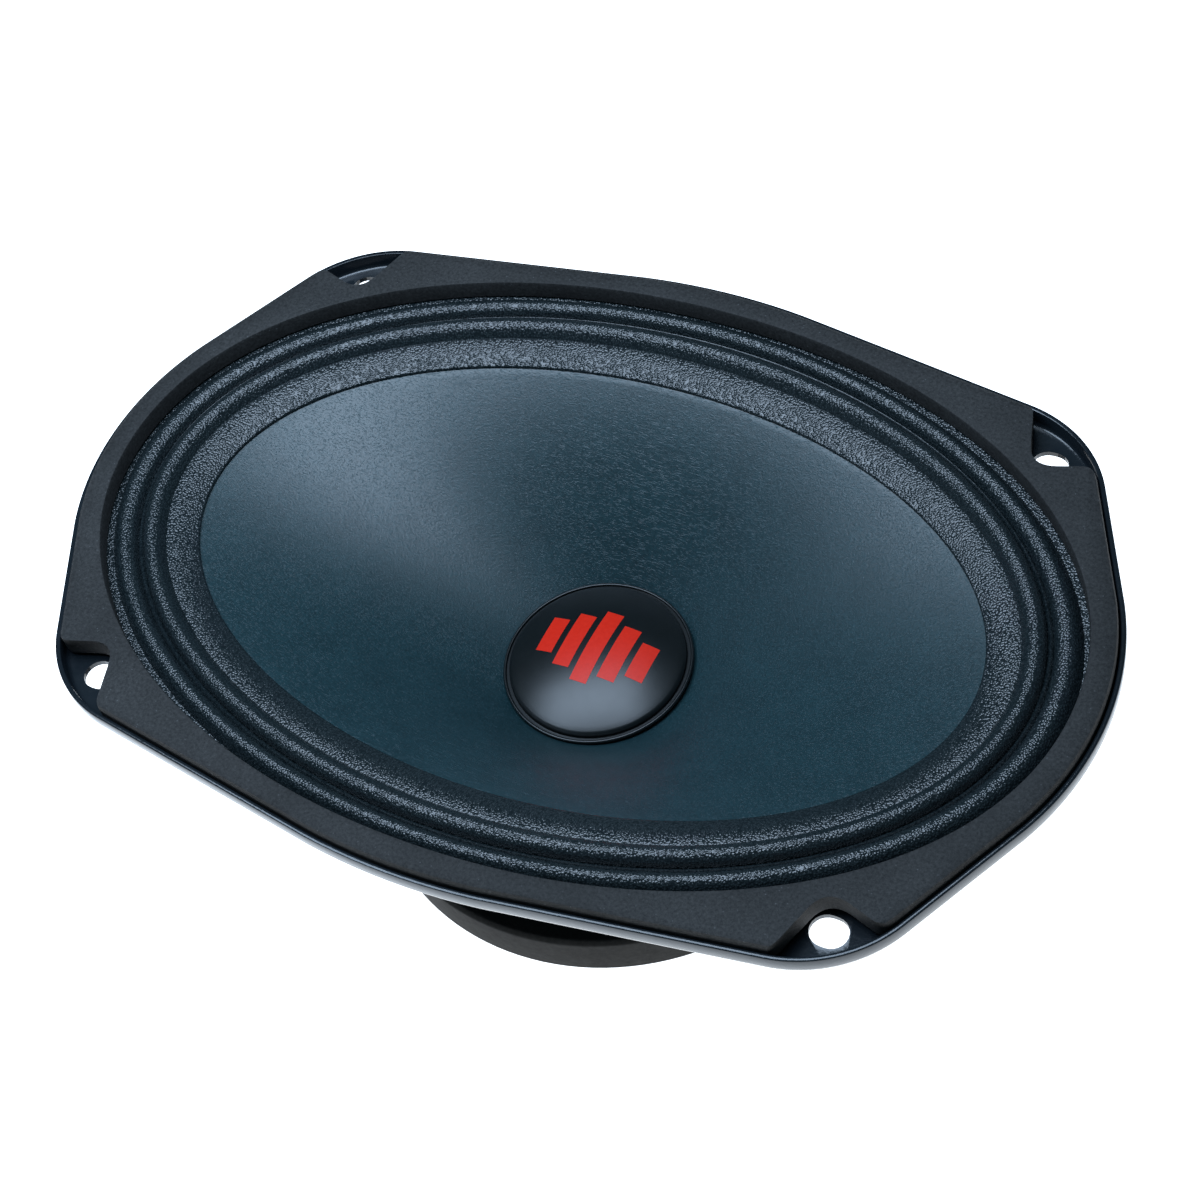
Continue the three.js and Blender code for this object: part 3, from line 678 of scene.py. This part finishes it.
# Inside of the wall: half-length, half-width and level. The outside is shifted out and down from it.
WALL_STATIONS = [
    (51.4, 51.4, 32.0),
    (56.0, 53.0, 34.2),
    (72.0, 58.0, 42.5),
    (89.0, 63.0, 53.5),
    (99.5, 66.3, 62.5),
    (104.4, 68.4, 70.0),
]
WALL_SHIFT = np.array((0.8, 1.0, -0.9))
RIB_ANGLES = [math.radians(a) for a in (29, 151, 209, 331, 270)]
RIB_DEPTH, RIB_WIDTH = 1.3, 3.6


def ribbed(wall_ring, strength):
    """A wall ring with stiffening ribs pressed outwards in the middle of the arms."""
    result = wall_ring.copy()
    for point in result:
        reach = math.hypot(point[0], point[1])
        for rib in RIB_ANGLES:
            off = math.remainder(math.atan2(point[1], point[0]) - rib, TURN) * reach
            push = RIB_DEPTH * strength * math.exp(-((off / RIB_WIDTH) ** 2))
            point[:2] *= 1 + push / reach
    return result


def basket_rings():
    floor_top = BASKET_FLOOR + SHEET
    wall = smooth_path(WALL_STATIONS, 5)
    strengths = [ease(z, 34, 40) * (1 - ease(z, 61, 68)) for a, b, z in wall]
    inner_wall = [ribbed(oval((a, b), z), s) for (a, b, z), s in zip(wall, strengths)]
    outer_wall = [ribbed(oval((a, b), z), s) for (a, b, z), s in zip(wall + WALL_SHIFT, strengths)]
    inner = [
        circle(24.5, floor_top),
        circle(39.6, floor_top),
        circle(40.6, floor_top + 0.5),
        circle(42.2, SPIDER_LEDGE - 0.5),
        circle(43, SPIDER_LEDGE),
        circle(49.8, SPIDER_LEDGE),
        *inner_wall,
        oval((105.4, 69.2), FLANGE_TOP - 1),
        oval((105.9, 69.7), FLANGE_TOP - 0.3),
        oval((107, 70.6), FLANGE_TOP),
        outline(2.2, FLANGE_TOP),
        outline(1.65, FLANGE_TOP + 0.13),
        outline(1.32, FLANGE_TOP + 0.42),
        outline(SHEET, FLANGE_TOP + 0.9),
        outline(SHEET, RIM_TOP - 0.35),
        outline(SHEET - 0.12, RIM_TOP - 0.1),
        outline(SHEET - 0.35, RIM_TOP),
    ]
    outer = [
        outline(0.35, RIM_TOP),
        outline(0.1, RIM_TOP - 0.12),
        outline(0, RIM_TOP - 0.4),
        outline(0, FLANGE_TOP + 0.9),
        outline(0.35, FLANGE_TOP - 0.2),
        outline(1.1, FLANGE_TOP - 0.9),
        outline(2.2, FLANGE_TOP - SHEET),
        oval((108.4, 71.9), FLANGE_TOP - SHEET),
        oval((106.8, 70.7), FLANGE_TOP - SHEET - 1),
        *outer_wall[::-1],
        circle(50.6, SPIDER_LEDGE - SHEET),
        circle(43.9, SPIDER_LEDGE - SHEET),
        circle(43.3, SPIDER_LEDGE - SHEET - 0.8),
        circle(41.2, BASKET_FLOOR),
        circle(24.5, BASKET_FLOOR),
    ]
    return inner + outer


def window_tool(degrees, bottom_width, top_width, bottom, top):
    """Rounded window in the basket wall, cut outwards along one direction in plan."""
    radius = WINDOW_CORNER
    half_bottom, half_top = bottom_width / 2, top_width / 2
    lean = math.degrees(math.atan2(half_top - half_bottom, top - bottom))
    shape = arc((half_bottom - radius, bottom + radius), radius, -90, -lean, 6)
    shape += arc((half_top - radius, top - radius), radius, -lean, 90, 6)
    shape += [(-x, z) for x, z in shape[::-1]]
    c, s = math.cos(math.radians(degrees)), math.sin(math.radians(degrees))
    points, faces = prism(shape, 40, 130)
    return placed(points, Matrix(((-s, 0, c), (c, 0, s), (0, 1, 0)))), faces


def round_tool(radius, bottom, top, x=0.0, y=0.0, steps=32):
    return prism([(x + px, y + py) for px, py in arc((0, 0), radius, 0, 360, steps)[:-1]], bottom, top)


def board_matrix():
    """The terminal board's own axes: X along the board, Y up the arm and Z away from the basket."""
    s, c = math.sin(BOARD_TILT), math.cos(BOARD_TILT)
    x, y, z = Vector((-1, 0, 0)), Vector((0, s, c)), Vector((0, c, -s))
    matrix = Matrix((x, y, z)).transposed().to_4x4()
    matrix.translation = Vector(BOARD_CENTRE)
    return matrix


def rivet_spots():
    angles = [math.radians(degrees) for degrees in RIVET_ANGLES]
    return [(RIVET_CIRCLE * math.cos(a), RIVET_CIRCLE * math.sin(a)) for a in angles]


def build_basket(look):
    points, faces, uvs = loft(basket_rings())
    basket = make_piece("basket_shell", points, faces, look)
    tools = [window_tool(degrees, *END_WINDOW) for degrees in END_WINDOW_ANGLES]
    tools += [window_tool(degrees, *SIDE_WINDOW) for degrees in SIDE_WINDOW_ANGLES]
    for sx in (1, -1):
        for sy in (1, -1):
            shape = [(sx * HOLE_X + x, sy * HOLE_Y + y) for x, y in slot_shape(HOLE_LENGTH, HOLE_WIDTH)]
            tools.append(prism(shape, FLANGE_TOP - 4, FLANGE_TOP + 2))
    rivet_hole = RIVET_SHANK + 0.2
    tools += [round_tool(rivet_hole, BASKET_FLOOR - 1, BASKET_FLOOR + 4, x, y) for x, y in rivet_spots()]
    for x in BOARD_RIVETS:
        hole_points, hole_faces = round_tool(BOARD_RIVET_HOLE, -5, 2, x, 0, 24)
        tools.append((placed(hole_points, board_matrix()), hole_faces))
    cut(basket, tools)
    soften(basket, 0.25, 2, 50)
    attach(basket, "basket")
    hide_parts("basket_frame")


# ---------------------------------------------------------------- front gasket

def notch_tool(sx, sy):
    """Cutter for the gasket's open corner round a screw hole, which leaves its two tips rounded."""
    shape = [(65, 74), NOTCH_SIDE_TIP, NOTCH_INSIDE, NOTCH_END_TIP]
    shape += [(101, 46), (110, 46), (110, 84), (65, 84)]
    shape = rounded(shape, (0, *NOTCH_ROUNDING, 0, 0, 0, 0), 10)
    shape = [(sx * x, sy * y) for x, y in shape]
    if sx * sy < 0:
        shape = shape[::-1]
    return prism(shape, SURROUND_BASE - 3, GASKET_TOP + 3)


def build_gasket(look):
    bottom = SURROUND_BASE + CLEARANCE
    inset = SHEET + 0.4

    def opening(wider, z):
        return oval((OPENING[0] + wider, OPENING[1] + wider), z, OPENING_POWER)

    rings = [
        opening(0.1, bottom),
        opening(0, GASKET_TOP - 0.7),
        opening(0.2, GASKET_TOP - 0.2),
        opening(0.7, GASKET_TOP),
        outline(inset + 0.9, GASKET_TOP),
        outline(inset + 0.3, GASKET_TOP - 0.25),
        outline(inset, GASKET_TOP - 0.9),
        outline(inset, bottom + 1),
        outline(inset + 1, bottom),
    ]
    points, faces, uvs = loft(rings)
    gasket = make_piece("gasket_ring", points, faces, look)
    cut(gasket, [notch_tool(sx, sy) for sx in (1, -1) for sy in (1, -1)])
    soften(gasket, 0.35, 3, 50)
    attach(gasket, "basket")
    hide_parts("front_gasket")


# ---------------------------------------------------------------- surround, cone and dust cap

def between(start, end, t):
    return start[0] + (end[0] - start[0]) * t, start[1] + (end[1] - start[1]) * t


def roll(start, end, steps=12):
    """Rings of one half roll, from one foot to the other, both left out."""
    stations = []
    for k in range(1, steps):
        t = k / steps
        stations.append((*between(start, end, t), SURROUND_BASE + 4 * t * (1 - t) * ROLL_HEIGHT))
    return stations


def surround_stations():
    bead, groove = 0.09, 0.35
    stations = [(*LIP, SURROUND_BASE), (*OUTER_FOOT, SURROUND_BASE - groove)]
    stations += roll(OUTER_FOOT, VALLEY)[1:-1]
    stations += [
        (*between(VALLEY, OUTER_FOOT, bead), SURROUND_BASE - groove),
        (*between(VALLEY, OUTER_FOOT, bead / 2), SURROUND_BASE + 0.2),
        (*VALLEY, SURROUND_BASE + 0.4),
        (*between(VALLEY, INNER_FOOT, bead * 0.6), SURROUND_BASE + 0.2),
        (*between(VALLEY, INNER_FOOT, bead * 1.2), SURROUND_BASE - groove),
    ]
    stations += [*roll(VALLEY, INNER_FOOT)[1:-1], (*INNER_FOOT, SURROUND_BASE - groove)]
    edge_top = CONE_EDGE_Z + CLEARANCE + CLOTH
    fall = edge_top - SURROUND_BASE
    band = [(*between(INNER_FOOT, CONE_EDGE, t), SURROUND_BASE + fall * t) for t in (0.12, 0.5, 0.95)]
    return [*stations, *band, (*CONE_EDGE, edge_top - 0.15)]


def build_surround():
    stations = surround_stations()
    front = [oval((a, b), z) for a, b, z in stations]
    back = [oval((a, b), z - CLOTH) for a, b, z in stations][::-1]
    back[0] = oval(CONE_EDGE, stations[-1][2] - CLOTH + 0.15)
    spans = np.linalg.norm(np.diff(np.array(front), axis=0), axis=2).mean(axis=1)
    valley = next(i for i, s in enumerate(stations) if s[:2] == VALLEY)
    points, faces, uvs = loft(front + back)
    look = cloth_look(float(spans[:valley].sum()))
    surround = make_piece("surround_rolls", points, faces, look, sharp=60, uvs=uvs)

    def weight(point):
        # 0 at the outer foot of the rolls and 1 at their inner foot, along the oval through the point.
        lengths = np.array((OUTER_FOOT[0], INNER_FOOT[0]))
        widths = np.array((OUTER_FOOT[1], INNER_FOOT[1]))
        outside, inside = np.hypot(point.x / lengths, point.y / widths)
        return 1 - ease((inside - 1) / max(inside - outside, 1e-6), 0.0, 1.0)

    bend_with_cone(surround, weight)
    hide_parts("surround")


def cone_front(steps):
    """Ovals of the cone's front, which is a little steeper near its neck than at its edge."""
    curve = 0.28
    stations = []
    for k in range(steps + 1):
        t = k / steps
        size = between((CONE_NECK_RADIUS,) * 2, CONE_EDGE, t)
        rise = (1 + curve) * t - curve * t * t
        stations.append((*size, CONE_NECK_Z + (CONE_EDGE_Z - CONE_NECK_Z) * rise))
    return stations


def build_cone(look):
    front = cone_front(28) + [(*CONE_RIM, SURROUND_BASE - CLOTH - 0.6)]
    inner = WRAP_OUTER + CLEARANCE
    neck_foot = CONE_NECK_Z - 2.2
    rings = [circle(inner, CONE_NECK_Z - 0.4)]
    rings += [oval((a, b), z) for a, b, z in front]
    rings += [oval((a, b), z - PAPER) for a, b, z in front[1:]][::-1]
    rings += [circle(inner + 0.9, CONE_NECK_Z - 0.9)]
    rings += [circle(inner + 0.7, neck_foot), circle(inner, neck_foot)]
    points, faces, uvs = loft(rings)
    cone = make_piece("cone_paper_shell", points, faces, look, "cone_assembly")
    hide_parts("cone")


def dome_height(radius):
    """Level of the dust cap's dome."""
    return DOME_TOP_Z - (DOME_TOP_Z - DOME_EDGE_Z) * (radius / DOME_RADIUS) ** 2


def build_dust_cap(look, ink):
    skin = 0.8
    shoulder = DOME_RADIUS - 0.75
    top = dome_height(shoulder)
    rim, rim_edge = CAP_RADIUS - 0.7, 0.3
    profile = [(0, DOME_TOP_Z)]
    profile += [(r, dome_height(r)) for r in np.linspace(1.5, shoulder, 18)]
    profile += [(shoulder + r, top - drop) for r, drop in ((0.4, 0.2), (0.75, 0.6))]
    groove, foot = CAP_FOOT_Z + 0.05, CAP_FOOT_Z - 0.3
    profile += [(DOME_RADIUS + 0.1, groove), (rim, groove)]
    profile += arc((rim + rim_edge, CAP_RIM_Z - rim_edge), rim_edge, 180, 90, 3)
    profile += arc((CAP_RADIUS - rim_edge, CAP_RIM_Z - rim_edge), rim_edge, 90, 0, 3)
    profile += [(CAP_RADIUS - 0.1, foot), (DOME_RADIUS - 0.6, foot)]
    profile += [(r, dome_height(r) - skin) for r in np.linspace(shoulder - 0.4, 1.5, 10)]
    profile += [(0, DOME_TOP_Z - skin)]
    cap = turned_piece("cap_moulding", profile, look, "cone_assembly", 160)
    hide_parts("dust_cap")

    # Five upright bars of printed ink, like an audio level meter.
    ink_height, print_y = 0.05, 1.0
    width, gap = 4.1, 1.5
    lengths = (9.5, 14.5, 19.5, 14.5, 9.5)
    columns, rows = 5, 24
    for k, length in enumerate(lengths):
        centre = (k - 2) * (width + gap)
        points, faces = [], []
        for i in range(columns + 1):
            for j in range(rows + 1):
                x = centre + width * (i / columns - 0.5)
                y = print_y + length * (j / rows - 0.5)
                points.append((x, y, dome_height(math.hypot(x, y)) + ink_height))
        for i in range(columns):
            for j in range(rows):
                a = i * (rows + 1) + j
                faces.append((a, a + rows + 1, a + rows + 2, a + 1))
        make_piece(f"level_bar_{k + 1}", points, faces, ink, "cone_assembly")


# ---------------------------------------------------------------- spider and coil

def build_spider():
    flat_inner, flat_outer = SPIDER_INNER + 2, SPIDER_OUTER - 5
    ledge = SPIDER_LEDGE + CLEARANCE + CLOTH
    front = [(SPIDER_INNER, SPIDER_Z)]
    steps = SPIDER_WAVES * 12
    for k in range(steps + 1):
        t = k / steps
        fade = ease(t, 0, 0.08) * (1 - ease(t, 0.92, 1))
        wave = SPIDER_WAVE_HEIGHT * (0.4 - 0.6 * math.cos(t * SPIDER_WAVES * TURN)) * fade
        front.append((flat_inner + (flat_outer - flat_inner) * t, SPIDER_Z + (ledge - SPIDER_Z) * t + wave))
    front.append((SPIDER_OUTER, ledge))
    back = [(r, z - CLOTH) for r, z in front][::-1]
    points, faces = turned(front + back)
    spider = make_piece("spider_disc", points, faces, spider_look(), sharp=60)
    bend_with_cone(spider, lambda p: 1 - ease(math.hypot(p.x, p.y), flat_inner, flat_outer))
    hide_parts("spider")


def box_section(inner, outer, bottom, top):
    return [(inner, bottom), (outer, bottom), (outer, top), (inner, top)]


def build_coil(former_look, wrap_look, solder):
    former = box_section(FORMER_INNER, FORMER_OUTER, FORMER_BOTTOM, FORMER_TOP)
    former = turned_piece("coil_former_tube", former, former_look, "cone_assembly")
    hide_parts("coil_former")
    winding = rounded(box_section(WRAP_INNER, WINDING_OUTER, WINDING_BOTTOM, WINDING_TOP), 0.3)
    winding = turned_piece("coil_wire", winding, winding_look(), "cone_assembly")
    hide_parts("coil_winding")
    wrap = box_section(WRAP_INNER, WRAP_OUTER, WRAP_BOTTOM, FORMER_TOP)
    wrap = turned_piece("coil_wrap", wrap, wrap_look, "cone_assembly")
    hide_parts("coil_paper_wrap")
    for name in ("positive_coil_pad", "negative_coil_pad"):
        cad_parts[name].data.materials.clear()
        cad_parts[name].data.materials.append(solder)


# ---------------------------------------------------------------- motor

def build_motor(steel, ferrite, plate_look, mesh_look):
    seat_radius, seat_z = SCREEN_RADIUS + 0.4, SCREEN_TOP + 0.4
    yoke = [
        (seat_radius, 0), (BACK_PLATE_RADIUS - 3, 0), (BACK_PLATE_RADIUS, 2),
        (BACK_PLATE_RADIUS, BACK_PLATE_TOP - 0.6), (BACK_PLATE_RADIUS - 0.6, BACK_PLATE_TOP),
        (POLE_RADIUS, BACK_PLATE_TOP), (POLE_RADIUS, TOP_PLATE_TOP - 0.5),
        (POLE_RADIUS - 0.5, TOP_PLATE_TOP),
        (VENT_RADIUS, TOP_PLATE_TOP), (VENT_RADIUS, seat_z), (seat_radius, seat_z),
    ]
    piece = turned_piece("yoke_turned", rounded(yoke, 0.5, 4), steel, "basket")
    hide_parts("back_plate_pole")

    magnet_foot, chamfer = BACK_PLATE_TOP + CLEARANCE, 1
    magnet = [
        (MAGNET_BORE, magnet_foot), (MAGNET_RADIUS - chamfer, magnet_foot),
        (MAGNET_RADIUS, magnet_foot + chamfer), (MAGNET_RADIUS, MAGNET_TOP - chamfer),
        (MAGNET_RADIUS - chamfer, MAGNET_TOP), (MAGNET_BORE, MAGNET_TOP),
    ]
    piece = turned_piece("magnet_ring", rounded(magnet, 0.35, 3), ferrite, "basket")
    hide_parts("ferrite_magnet")

    plate_foot, chamfer = MAGNET_TOP + CLEARANCE, 0.8
    plate = [
        (GAP_OUTER_RADIUS, plate_foot), (TOP_PLATE_RADIUS, plate_foot),
        (TOP_PLATE_RADIUS, TOP_PLATE_TOP - chamfer), (TOP_PLATE_RADIUS - chamfer, TOP_PLATE_TOP),
        (GAP_OUTER_RADIUS, TOP_PLATE_TOP),
    ]
    piece = turned_piece("front_plate", rounded(plate, 0.4, 3), plate_look, "basket")
    cut(piece, [round_tool(RIVET_SHANK + 0.2, 17, 24, x, y) for x, y in rivet_spots()])
    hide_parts("top_plate")

    # Domed rivets through the top plate and the basket's floor: radius and height above the floor's seat.
    seat = BASKET_FLOOR + SHEET + CLEARANCE
    head = ((3.4, 0), (3.3, 0.7), (2.4, 1.45), (1.2, 1.75), (0, 1.8))
    profile = [(0, plate_foot), (RIVET_SHANK, plate_foot), (RIVET_SHANK, seat)]
    profile += [(radius, seat + rise) for radius, rise in head]
    points, faces = turned(rounded(profile, 0.25, 3), 32)
    for k, (x, y) in enumerate(rivet_spots()):
        moved = points + np.array((x, y, 0))
        piece = make_piece(f"plate_rivet_head_{k + 1}", moved, faces, steel, "basket")
        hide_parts(f"plate_rivet_{k + 1}")

    build_screen(mesh_look)


def build_screen(look):
    """Woven wire screen in the vent, in a thin rim."""
    rim = box_section(SCREEN_RADIUS - 0.8, SCREEN_RADIUS, 0.4, SCREEN_TOP)
    wires = [turned(rounded(rim, 0.15, 3), 64)]
    wire_end, wire_z, sway = SCREEN_RADIUS - 0.5, 0.7, 0.12
    for k in range(-6, 7):
        offset = k * SCREEN_PITCH
        reach = math.sqrt(max(0.0, wire_end**2 - offset**2))
        if reach < 0.8:
            continue
        samples = np.linspace(-reach, reach, 40)
        for sign in (1, -1):
            lift = wire_z + sway * sign * (-1) ** k * np.cos(samples * math.pi / SCREEN_PITCH)
            path = [(s, offset, z) if sign > 0 else (offset, s, z) for s, z in zip(samples, lift)]
            wires.append(tube(path, WIRE_RADIUS, 6)[:2])
    points, faces = joined(wires)
    screen = make_piece("vent_wire_screen", points, faces, look, "basket")
    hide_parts("vent_screen")


# ---------------------------------------------------------------- terminals and leads

def build_terminals(board_look, tab_look, steel, braid):
    matrix = board_matrix()
    corner_x, corner_y = BOARD_WIDTH / 2 - BOARD_CORNER, BOARD_HEIGHT / 2 - BOARD_CORNER
    shape = []
    for sx, sy, start in ((1, -1, -90), (1, 1, 0), (-1, 1, 90), (-1, -1, 180)):
        shape += arc((sx * corner_x, sy * corner_y), BOARD_CORNER, start, start + 90, 5)
    points, faces = prism(shape, 0, BOARD_THICKNESS)
    board = make_piece("terminal_strip", placed(points, matrix), faces, board_look)
    tools = []
    for name, side, width in TABS:
        x, half, tall = -side * TAB_X, TAB_THICKNESS / 2 + CLEARANCE, width / 2 + CLEARANCE
        tools.append(prism(box_section(x - half, x + half, -tall, tall), -1, 3))
    tools += [round_tool(BOARD_RIVET_HOLE, -1, 3, x, 0, 24) for x in BOARD_RIVETS]
    cut(board, [(placed(p, matrix), f) for p, f in tools])
    soften(board, 0.2, 2)
    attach(board, "basket")
    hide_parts("terminal_board")

    for name, side, width in TABS:
        half = width / 2
        # Upper half of the tab's outline, from the push-on blade outside to the solder lug inside.
        upper = [(9.8, half - 1.2), (8.5, half), (-1.2, half), (-1.2, 1.8), (-6, 1.8)]
        shape = [(x, -y) for x, y in upper[::-1]] + upper
        points, faces = prism(shape, -TAB_THICKNESS / 2, TAB_THICKNESS / 2)
        # The outline's X points away from the basket, and its plane stands on edge across the board.
        stand = Matrix(((0, 0, -1, -side * TAB_X), (0, 1, 0, 0), (1, 0, 0, BOARD_THICKNESS), (0, 0, 0, 1)))
        tab = make_piece(f"{name}_blade", placed(points, matrix @ stand), faces, tab_look)
        holes = [round_tool(0.8, -2, 2, 6.4, 0, 24), round_tool(0.7, -2, 2, -4.4, 0, 24)]
        cut(tab, [(placed(p, matrix @ stand), f) for p, f in holes])
        soften(tab, 0.12, 2)
        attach(tab, "basket")
        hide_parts(f"{name}_terminal")

    seat = BOARD_THICKNESS + CLEARANCE
    profile = [(0, -2.5), (BOARD_RIVET_SHANK, -2.5), (BOARD_RIVET_SHANK, seat)]
    profile += [(2.5, seat), (2.4, seat + 0.5), (1.5, seat + 0.85), (0, seat + 0.9)]
    for k, x in enumerate(BOARD_RIVETS):
        points, faces = turned(rounded(profile, 0.2, 3), 32)
        points = placed(points + np.array((x, 0, 0)), matrix)
        piece = make_piece(f"board_rivet_head_{k + 1}", points, faces, steel, "basket")
        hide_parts(f"board_rivet_{k + 1}")

    for name, side in (("positive", 1), ("negative", -1)):
        route = [
            (14.5, 57.6, 50.6), (14.5, 54.6, 50.2), (14.3, 49.0, 46.6), (13.9, 42.0, 42.0),
            (13.4, 34.5, 38.8), (12.8, 28.0, 36.9), (12.0, 22.6, 35.3), (10.9, 18.9, 34.4),
        ]
        path = smooth_path([(side * x, y, z) for x, y, z in route], 8)
        points, faces, uvs = tube(path, 0.75, 14)
        lead = make_piece(f"{name}_braided_lead", points, faces, braid, uvs=uvs, sharp=60)
        bend_with_cone(lead, lambda p: 1 - ease(math.hypot(p.x, p.y), 23, 56))
        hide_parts(f"{name}_tinsel_lead")


# ---------------------------------------------------------------- camera, light and floor

AZIMUTH, ELEVATION, ROLL = 39.4594, 52.6350, -16.1664
DISTANCE, SHIFT_X, SHIFT_Y = 495.7516, 6.7896, -8.3176
FOCAL_LENGTH, SENSOR = 70.864, 36.0

# Lengths in metres, and the turn about Z in degrees.
SOFTBOX_SIZE, SOFTBOX_PLACE, SOFTBOX_TURN = (0.4, 0.2), (-0.092, -0.012, 0.428), 26.5
SOFTBOX_WATTS, SOFTBOX_COLOUR = 2.3, (0.62, 0.79, 1.0)
FLOOR_HALF, FLOOR_Z = 16.0, -0.0002
FLOOR_GLOW, FLOOR_GLOW_STRENGTH = (0.9, 0.95, 1, 1), 1.7


def build_camera():
    """A camera that looks at the centre of the rim, from the front right and above, a little tilted."""
    a, e, r = (math.radians(v) for v in (AZIMUTH, ELEVATION, ROLL))
    back = Vector((math.sin(a) * math.cos(e), -math.cos(a) * math.cos(e), math.sin(e)))
    level = (-back).cross(Vector((0, 0, 1))).normalized()
    upright = level.cross(-back)
    right = level * math.cos(r) + upright * math.sin(r)
    up = -level * math.sin(r) + upright * math.cos(r)
    place = Vector((0, 0, RIM_TOP)) + back * DISTANCE + right * SHIFT_X + up * SHIFT_Y
    camera = bpy.data.objects.new("camera", bpy.data.cameras.new("camera"))
    bpy.context.scene.collection.objects.link(camera)
    camera.data.lens, camera.data.sensor_width = FOCAL_LENGTH, SENSOR
    camera.data.clip_start, camera.data.clip_end = 0.01, 40
    matrix = Matrix((right, up, back)).transposed().to_4x4()
    matrix.translation = place * MM
    camera.matrix_world = matrix
    bpy.context.scene.camera = camera


def build_softbox():
    """A small bluish softbox just above the object, left of its middle as the camera sees it."""
    light = bpy.data.lights.new("overhead_softbox", "AREA")
    light.shape = "RECTANGLE"
    light.size, light.size_y = SOFTBOX_SIZE
    light.energy, light.color = SOFTBOX_WATTS, SOFTBOX_COLOUR
    lamp = bpy.data.objects.new("overhead_softbox", light)
    bpy.context.scene.collection.objects.link(lamp)
    lamp.location = SOFTBOX_PLACE
    lamp.rotation_euler.z = math.radians(SOFTBOX_TURN)


def build_stage():
    mesh = bpy.data.meshes.new("floor")
    corners = [(sx * FLOOR_HALF, sy * FLOOR_HALF, 0) for sx, sy in ((-1, -1), (1, -1), (1, 1), (-1, 1))]
    mesh.from_pydata(corners, [], [(0, 1, 2, 3)])
    floor = bpy.data.objects.new("floor", mesh)
    bpy.context.scene.collection.objects.link(floor)
    floor.location.z = FLOOR_Z
    look = Look("pale_floor", 0.9)
    look.color(look.ramp(look.noise(0.004, 2), (0.3, 0.86), (0.7, 0.9)))
    look.shader.inputs["Emission Color"].default_value = FLOOR_GLOW
    look.shader.inputs["Emission Strength"].default_value = FLOOR_GLOW_STRENGTH
    floor.data.materials.append(look.material)

    build_softbox()

    world = bpy.data.worlds.new("studio")
    bpy.context.scene.world = world
    world.use_nodes = True
    background = world.node_tree.nodes["Background"]
    background.inputs["Color"].default_value = (0.5, 0.8, 1.0, 1)
    background.inputs["Strength"].default_value = 0.12
    bpy.context.scene.view_settings.view_transform = "Standard"


# ---------------------------------------------------------------- assembly

steel = turned_steel_look("zinc_plated_steel", (0.2, 0.205, 0.21), (0.36, 0.36, 0.36), 0.28, 0.5)
dark_steel = turned_steel_look("black_zinc_steel", (0.05, 0.055, 0.06), (0.09, 0.095, 0.1), 0.3, 0.5)
ferrite = plain_look(
    "ferrite_ceramic", (0.012, 0.0115, 0.0105), (0.021, 0.02, 0.0185), 0.6, 0.8, 0.9, 0.06,
    Specular_IOR_Level=0.15,
)
board = plain_look("hard_fibre_board", (0.02, 0.013, 0.009), (0.045, 0.03, 0.02), 0.5, 0.75, 2.0, 0.05)
brass = plain_look("tinned_brass", (0.5, 0.47, 0.38), (0.68, 0.65, 0.56), 0.22, 0.4, 0.8, 0.02, 1.0)
glass_cloth = plain_look("former_glass_cloth", (0.2, 0.15, 0.06), (0.34, 0.27, 0.13), 0.4, 0.6, 1.4, 0.05)
kraft = plain_look("kraft_wrap", (0.16, 0.09, 0.04), (0.27, 0.17, 0.085), 0.7, 0.9, 1.8, 0.06)
solder = plain_look("solder", (0.45, 0.46, 0.47), (0.62, 0.63, 0.64), 0.2, 0.35, 0.7, 0.04, 1.0)

build_camera()
build_stage()
build_basket(paint_look())
build_gasket(gasket_look())
build_surround()
build_cone(paper_look())
build_dust_cap(cap_look(), print_look())
build_spider()
build_coil(glass_cloth, kraft, solder)
build_motor(steel, ferrite, dark_steel, steel)
build_terminals(board, brass, steel, braid_look())
